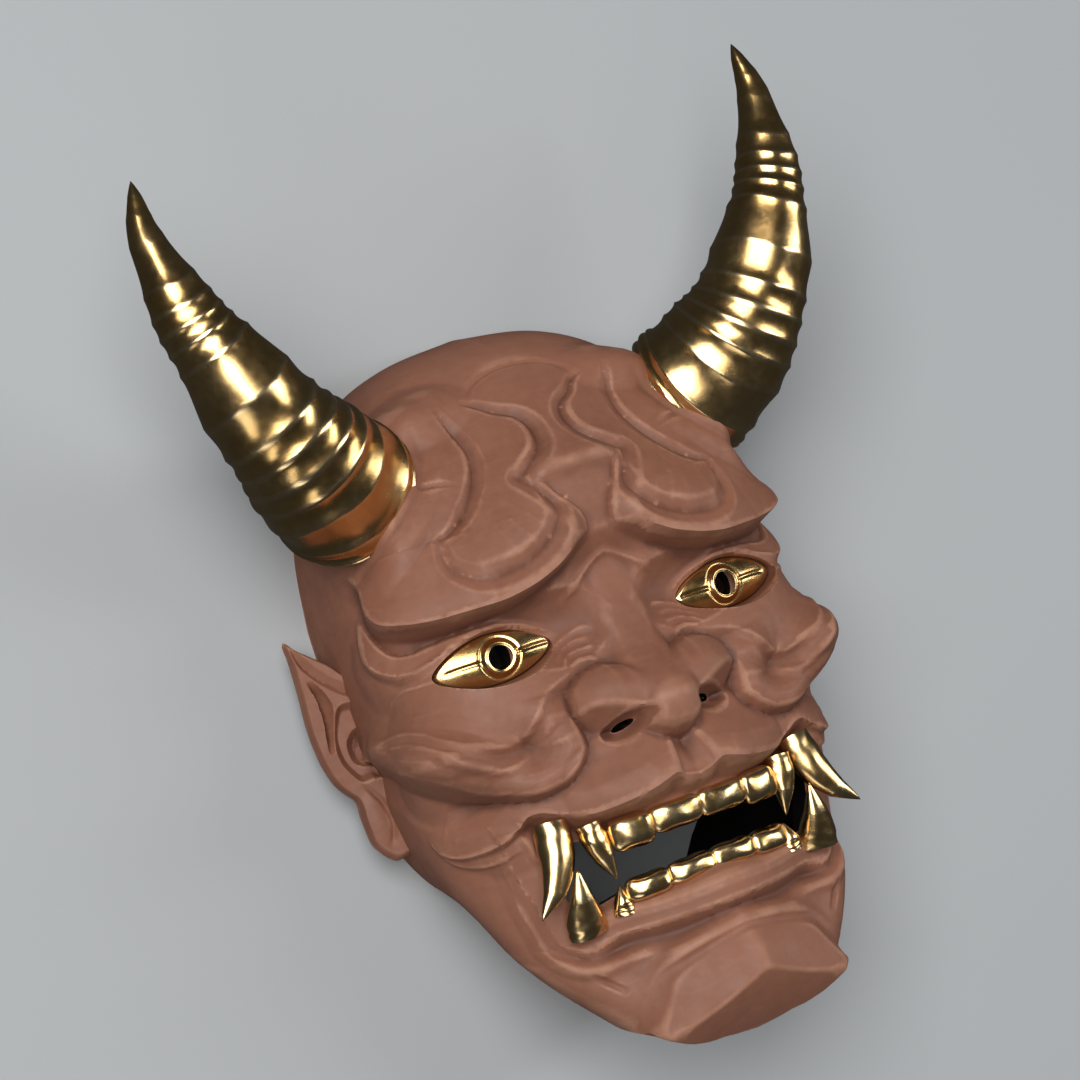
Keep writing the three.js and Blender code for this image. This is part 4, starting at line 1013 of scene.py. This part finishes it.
def ear():
    outline = spline(EAR + [EAR[0]], 10)[:-1][::-1]

    def ring(share, height):
        x = EAR_MIDDLE[0] + (outline[:, 0] - EAR_MIDDLE[0]) * share
        y = EAR_MIDDLE[1] + (outline[:, 1] - EAR_MIDDLE[1]) * share
        return np.stack([x - EAR_IN, y, EAR_Z + (EAR_MIDDLE[0] - x) * 0.25 + height(x, y)], 1)

    back = [ring(share, lambda x, y: rise) for share, rise in EAR_BACK]
    shares = np.linspace(0.985, 0.02, 60 if FINE else 30)
    return loft(back + [ring(share, lambda x, y: ear_relief(x, y, share)) for share in shares])


SHEET = (286, 312) if FINE else (150, 164)
BACK = (64, 70)
# Cutting bodies: radius at the pupil, and the heights between which each one cuts
PUPIL_CUT = 5.8
MOUTH_LEVELS = (30, 130)
PUPIL_LEVELS = (40, 90)
NOSTRIL_LEVELS = (50, 110)
ROUND = np.arange(48) * math.pi / 24


def rim_seam(a, b):
    """Faces between two rims that run side by side with different numbers of points"""
    faces = []
    i = j = 0
    while i < len(a) or j < len(b):
        if j >= len(b) or (i < len(a) and (i + 1) / len(a) <= (j + 1) / len(b)):
            faces.append((a[(i + 1) % len(a)], a[i % len(a)], b[j % len(b)]))
            i += 1
        else:
            faces.append((a[i % len(a)], b[j % len(b)], b[(j + 1) % len(b)]))
            j += 1
    return faces


def round_outline(centre, radii, turn=0.0):
    points = [turned(radii[0] * math.cos(t), radii[1] * math.sin(t), math.radians(turn)) for t in ROUND]
    return [(centre[0] + x, centre[1] + y) for x, y in points]


def openings():
    """Cutting bodies of the mouth, and of the pupil, eye seat and nostril on both sides; the last number says
    if the walls they cut take the near-black painted shade
    """
    pupil = round_outline(PUPIL, (PUPIL_CUT, PUPIL_CUT))
    nostril = round_outline(NOSTRIL, NOSTRIL_SIZE, NOSTRIL_TURN)
    yield (*prism(both_sides(MOUTH), *MOUTH_LEVELS), 1)
    for side in (same, mirrored):
        yield (*side(*prism(pupil, *PUPIL_LEVELS)), 1)
        yield (*side(*eye_pocket()), 0)
        yield (*side(*prism(nostril, *NOSTRIL_LEVELS)), 1)


def mask_shell():
    """Fine sheet in front, plain hollow behind, joined along the rim"""
    rim, back_rim = rim_loop(*SHEET), rim_loop(*BACK)
    u, v = snap(*sheet_places(*SHEET), rim)
    carved = face_points(u, v)
    carved[rim, 2] = 0
    hollow = hollow_points(*sheet_places(*BACK))
    hollow[back_rim, 2] = 0
    front_faces = split(grid_faces(*SHEET), carved, u, v).tolist()
    back_faces = grid_faces(*BACK)[:, ::-1] + len(carved)
    faces = front_faces + back_faces.tolist() + rim_seam(rim, back_rim + len(carved))
    # The hollow inside takes the near-black painted shade
    dark = np.arange(len(faces)) >= len(front_faces)
    piece = make_mesh("face", np.vstack([carved, hollow]), faces, dark=dark.astype(int))
    cut(piece, openings())
    return piece


def rippled(share, turn):
    """Cross ripples of a horn, uneven round it, strongest toward the foot"""
    deep = lin(share, [(0, 0.9), (0.15, 1.1), (0.6, 0.85), (0.85, 0.35), (1, 0)])
    uneven = 0.5 * np.sin(turn * 2 + share * 7) + 0.35 * np.sin(turn * 3 + 2)
    wave = 1 - 2 * np.abs(np.sin((share * 104 + 3.2 * np.sin(share * 19) + uneven) / 2)) ** 0.8
    slow = np.sin(share * 27 + 0.8 * np.sin(turn + 1) + 1)
    flat = np.cos(turn * 5 + 3 * np.sin(share * 9)) * (1 - share)
    return deep * (0.42 * wave + 0.5 * slow + 0.3 * flat)


def whittled(phase):
    """Knife facets of a pointed tooth; the phase keeps two teeth from looking alike"""
    def carve(share, turn):
        along = 0.1 * np.sin(share * 17 + 2 * np.sin(turn * 2 + phase)) * (1 - share)
        return along + 0.12 * np.cos(turn * 3 + phase + share * 4)
    return carve


def paired_pieces():
    """Gilt pieces that stand on both sides"""
    bodies = {"horn": taper(HORN, HORN_TIP, 120 if FINE else 60, 22 if FINE else 10, rippled),
              "eye": eye_plate(),
              "tusk": taper(TUSK, TUSK_TIP, 48, 16, whittled(0.4)),
              "upper_fang": taper(UPPER_FANG, UPPER_FANG_TIP, 48, 16, whittled(1.7)),
              "lower_fang": taper(LOWER_FANG, LOWER_FANG_TIP, 48, 16, whittled(3.1))}
    for side, turn in (("right", same), ("left", mirrored)):
        for node, body in bodies.items():
            piece = joined(node + "_gold_" + side, turn(*body))
            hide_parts(node + "_" + side)
            yield piece


def tooth_strips():
    """Rows of four front teeth; the lower row has a small pointed tooth at each end"""
    pointed = taper(SMALL_TOOTH, SMALL_TOOTH_TIP, 40, 14, whittled(5.0))
    upper = [tooth(block, wear) for block, wear in zip(UPPER_BLOCKS, (0.35, 0.5))]
    lower = [tooth(block, wear) for block, wear in zip(LOWER_BLOCKS, (0.3, 0.45))] + [pointed]
    for name, half in (("upper_teeth", upper), ("lower_teeth", lower)):
        piece = joined(name + "_gold", *[body for part in half for body in (part, mirrored(*part))])
        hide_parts(name)
        yield piece


def relief_marks(piece, steps):
    """Stores on every point how far it stands out from (crest) or sinks below (hollow) its surroundings"""
    mesh = piece.data
    n = len(mesh.vertices)
    p, normal = np.zeros(n * 3), np.zeros(n * 3)
    mesh.vertices.foreach_get("co", p)
    mesh.vertices.foreach_get("normal", normal)
    p, normal = p.reshape(-1, 3), normal.reshape(-1, 3)
    ends = np.zeros(len(mesh.edges) * 2, int)
    mesh.edges.foreach_get("vertices", ends)
    a, b = ends.reshape(-1, 2).T
    count = np.maximum(np.bincount(ends, minlength=n), 1)

    def around(value):
        return (np.bincount(a, value[b], n) + np.bincount(b, value[a], n)) / count

    q = p.copy()
    marks = []
    for i in range(1, max(steps) + 1):
        q = q + (np.stack([around(q[:, axis]) for axis in range(3)], 1) - q) * 0.7
        if i in steps:
            marks.append(((p - q) * normal).sum(1) / MM)
    # The crest mark steers the painted highlight and the hollow mark the painted shade in the materials
    for name, mark in zip(("crest", "hollow"), marks):
        mark = 0.6 * mark + 0.4 * around(mark)
        mesh.attributes.new(name, "FLOAT", "POINT").data.foreach_set("value", mark.astype(np.float32))


SHARP = math.radians(52)
MARK_STEPS = (2, 24)

shell = mask_shell()
gold_pieces = [*paired_pieces(), *tooth_strips()]
ears = [joined("ear_right", ear()), joined("ear_left", mirrored(*ear()))]
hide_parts("mask_shell")
for piece in [shell] + ears + gold_pieces:
    outward_faces(piece)
    piece.data.polygons.foreach_set("use_smooth", [True] * len(piece.data.polygons))
    piece.data.set_sharp_from_angle(angle=SHARP)
    relief_marks(piece, MARK_STEPS)
    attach(piece, "root")
for piece in ears:
    piece.data.materials.append(CLAY)
for piece in gold_pieces:
    piece.data.materials.append(GOLD)

# Lamps: direction from the mask, distance, size, watts and colour
AIM = Vector((0, -0.02, 0.05))
LAMPS = {"key": ((-0.42, 0.24, 0.88), 1.8, (1.4, 1.3), 36, (1, 0.985, 0.96)),
         "fill": ((0.75, 0.0, 0.6), 1.6, (0.4, 1.2), 8, (1, 1, 1)),
         "low": ((-0.6, -0.7, 0.5), 1.5, (0.9, 0.4), 2.0, (1, 1, 1))}
SKY_STRENGTH = 0.04
FLOOR_RADIUS = 0.5
# Camera: place in metres beside the middle of the face, turn in degrees, lens and film width in millimetres
CAMERA_PLACE = (-0.36428, SHIFT * MM, 0.82670)
CAMERA_TURN = (10.64366, -22.60158, -20.08532)
LENS = 86.667
FILM = 36


def stage_floor():
    mesh = bpy.data.meshes.new("floor")
    bm = bmesh.new()
    bmesh.ops.create_circle(bm, cap_ends=True, segments=96, radius=FLOOR_RADIUS)
    bm.to_mesh(mesh)
    bm.free()
    mesh.materials.append(floor_material())
    floor = placed("floor", mesh)
    floor.visible_glossy = False


def sky():
    world = bpy.data.worlds.new("studio")
    bpy.context.scene.world = world
    world.use_nodes = True
    background = world.node_tree.nodes["Background"]
    background.inputs["Color"].default_value = SKY_COLOUR
    background.inputs["Strength"].default_value = SKY_STRENGTH


def area(name, way, far, size, power, colour):
    data = bpy.data.lights.new(name, "AREA")
    data.shape = "RECTANGLE"
    data.size, data.size_y = size
    data.energy = power
    data.color = colour
    lamp = placed(name, data)
    lamp.location = AIM + Vector(way).normalized() * far
    lamp.rotation_euler = (AIM - lamp.location).to_track_quat("-Z", "Y").to_euler()


def place_camera():
    camera = placed("camera", bpy.data.cameras.new("camera"))
    camera.data.sensor_width = FILM
    camera.data.lens = LENS
    camera.location = CAMERA_PLACE
    camera.rotation_euler = [math.radians(angle) for angle in CAMERA_TURN]
    bpy.context.scene.camera = camera


stage_floor()
sky()
for name, lamp in LAMPS.items():
    area(name, *lamp)
place_camera()
bpy.context.scene.view_settings.view_transform = "Standard"
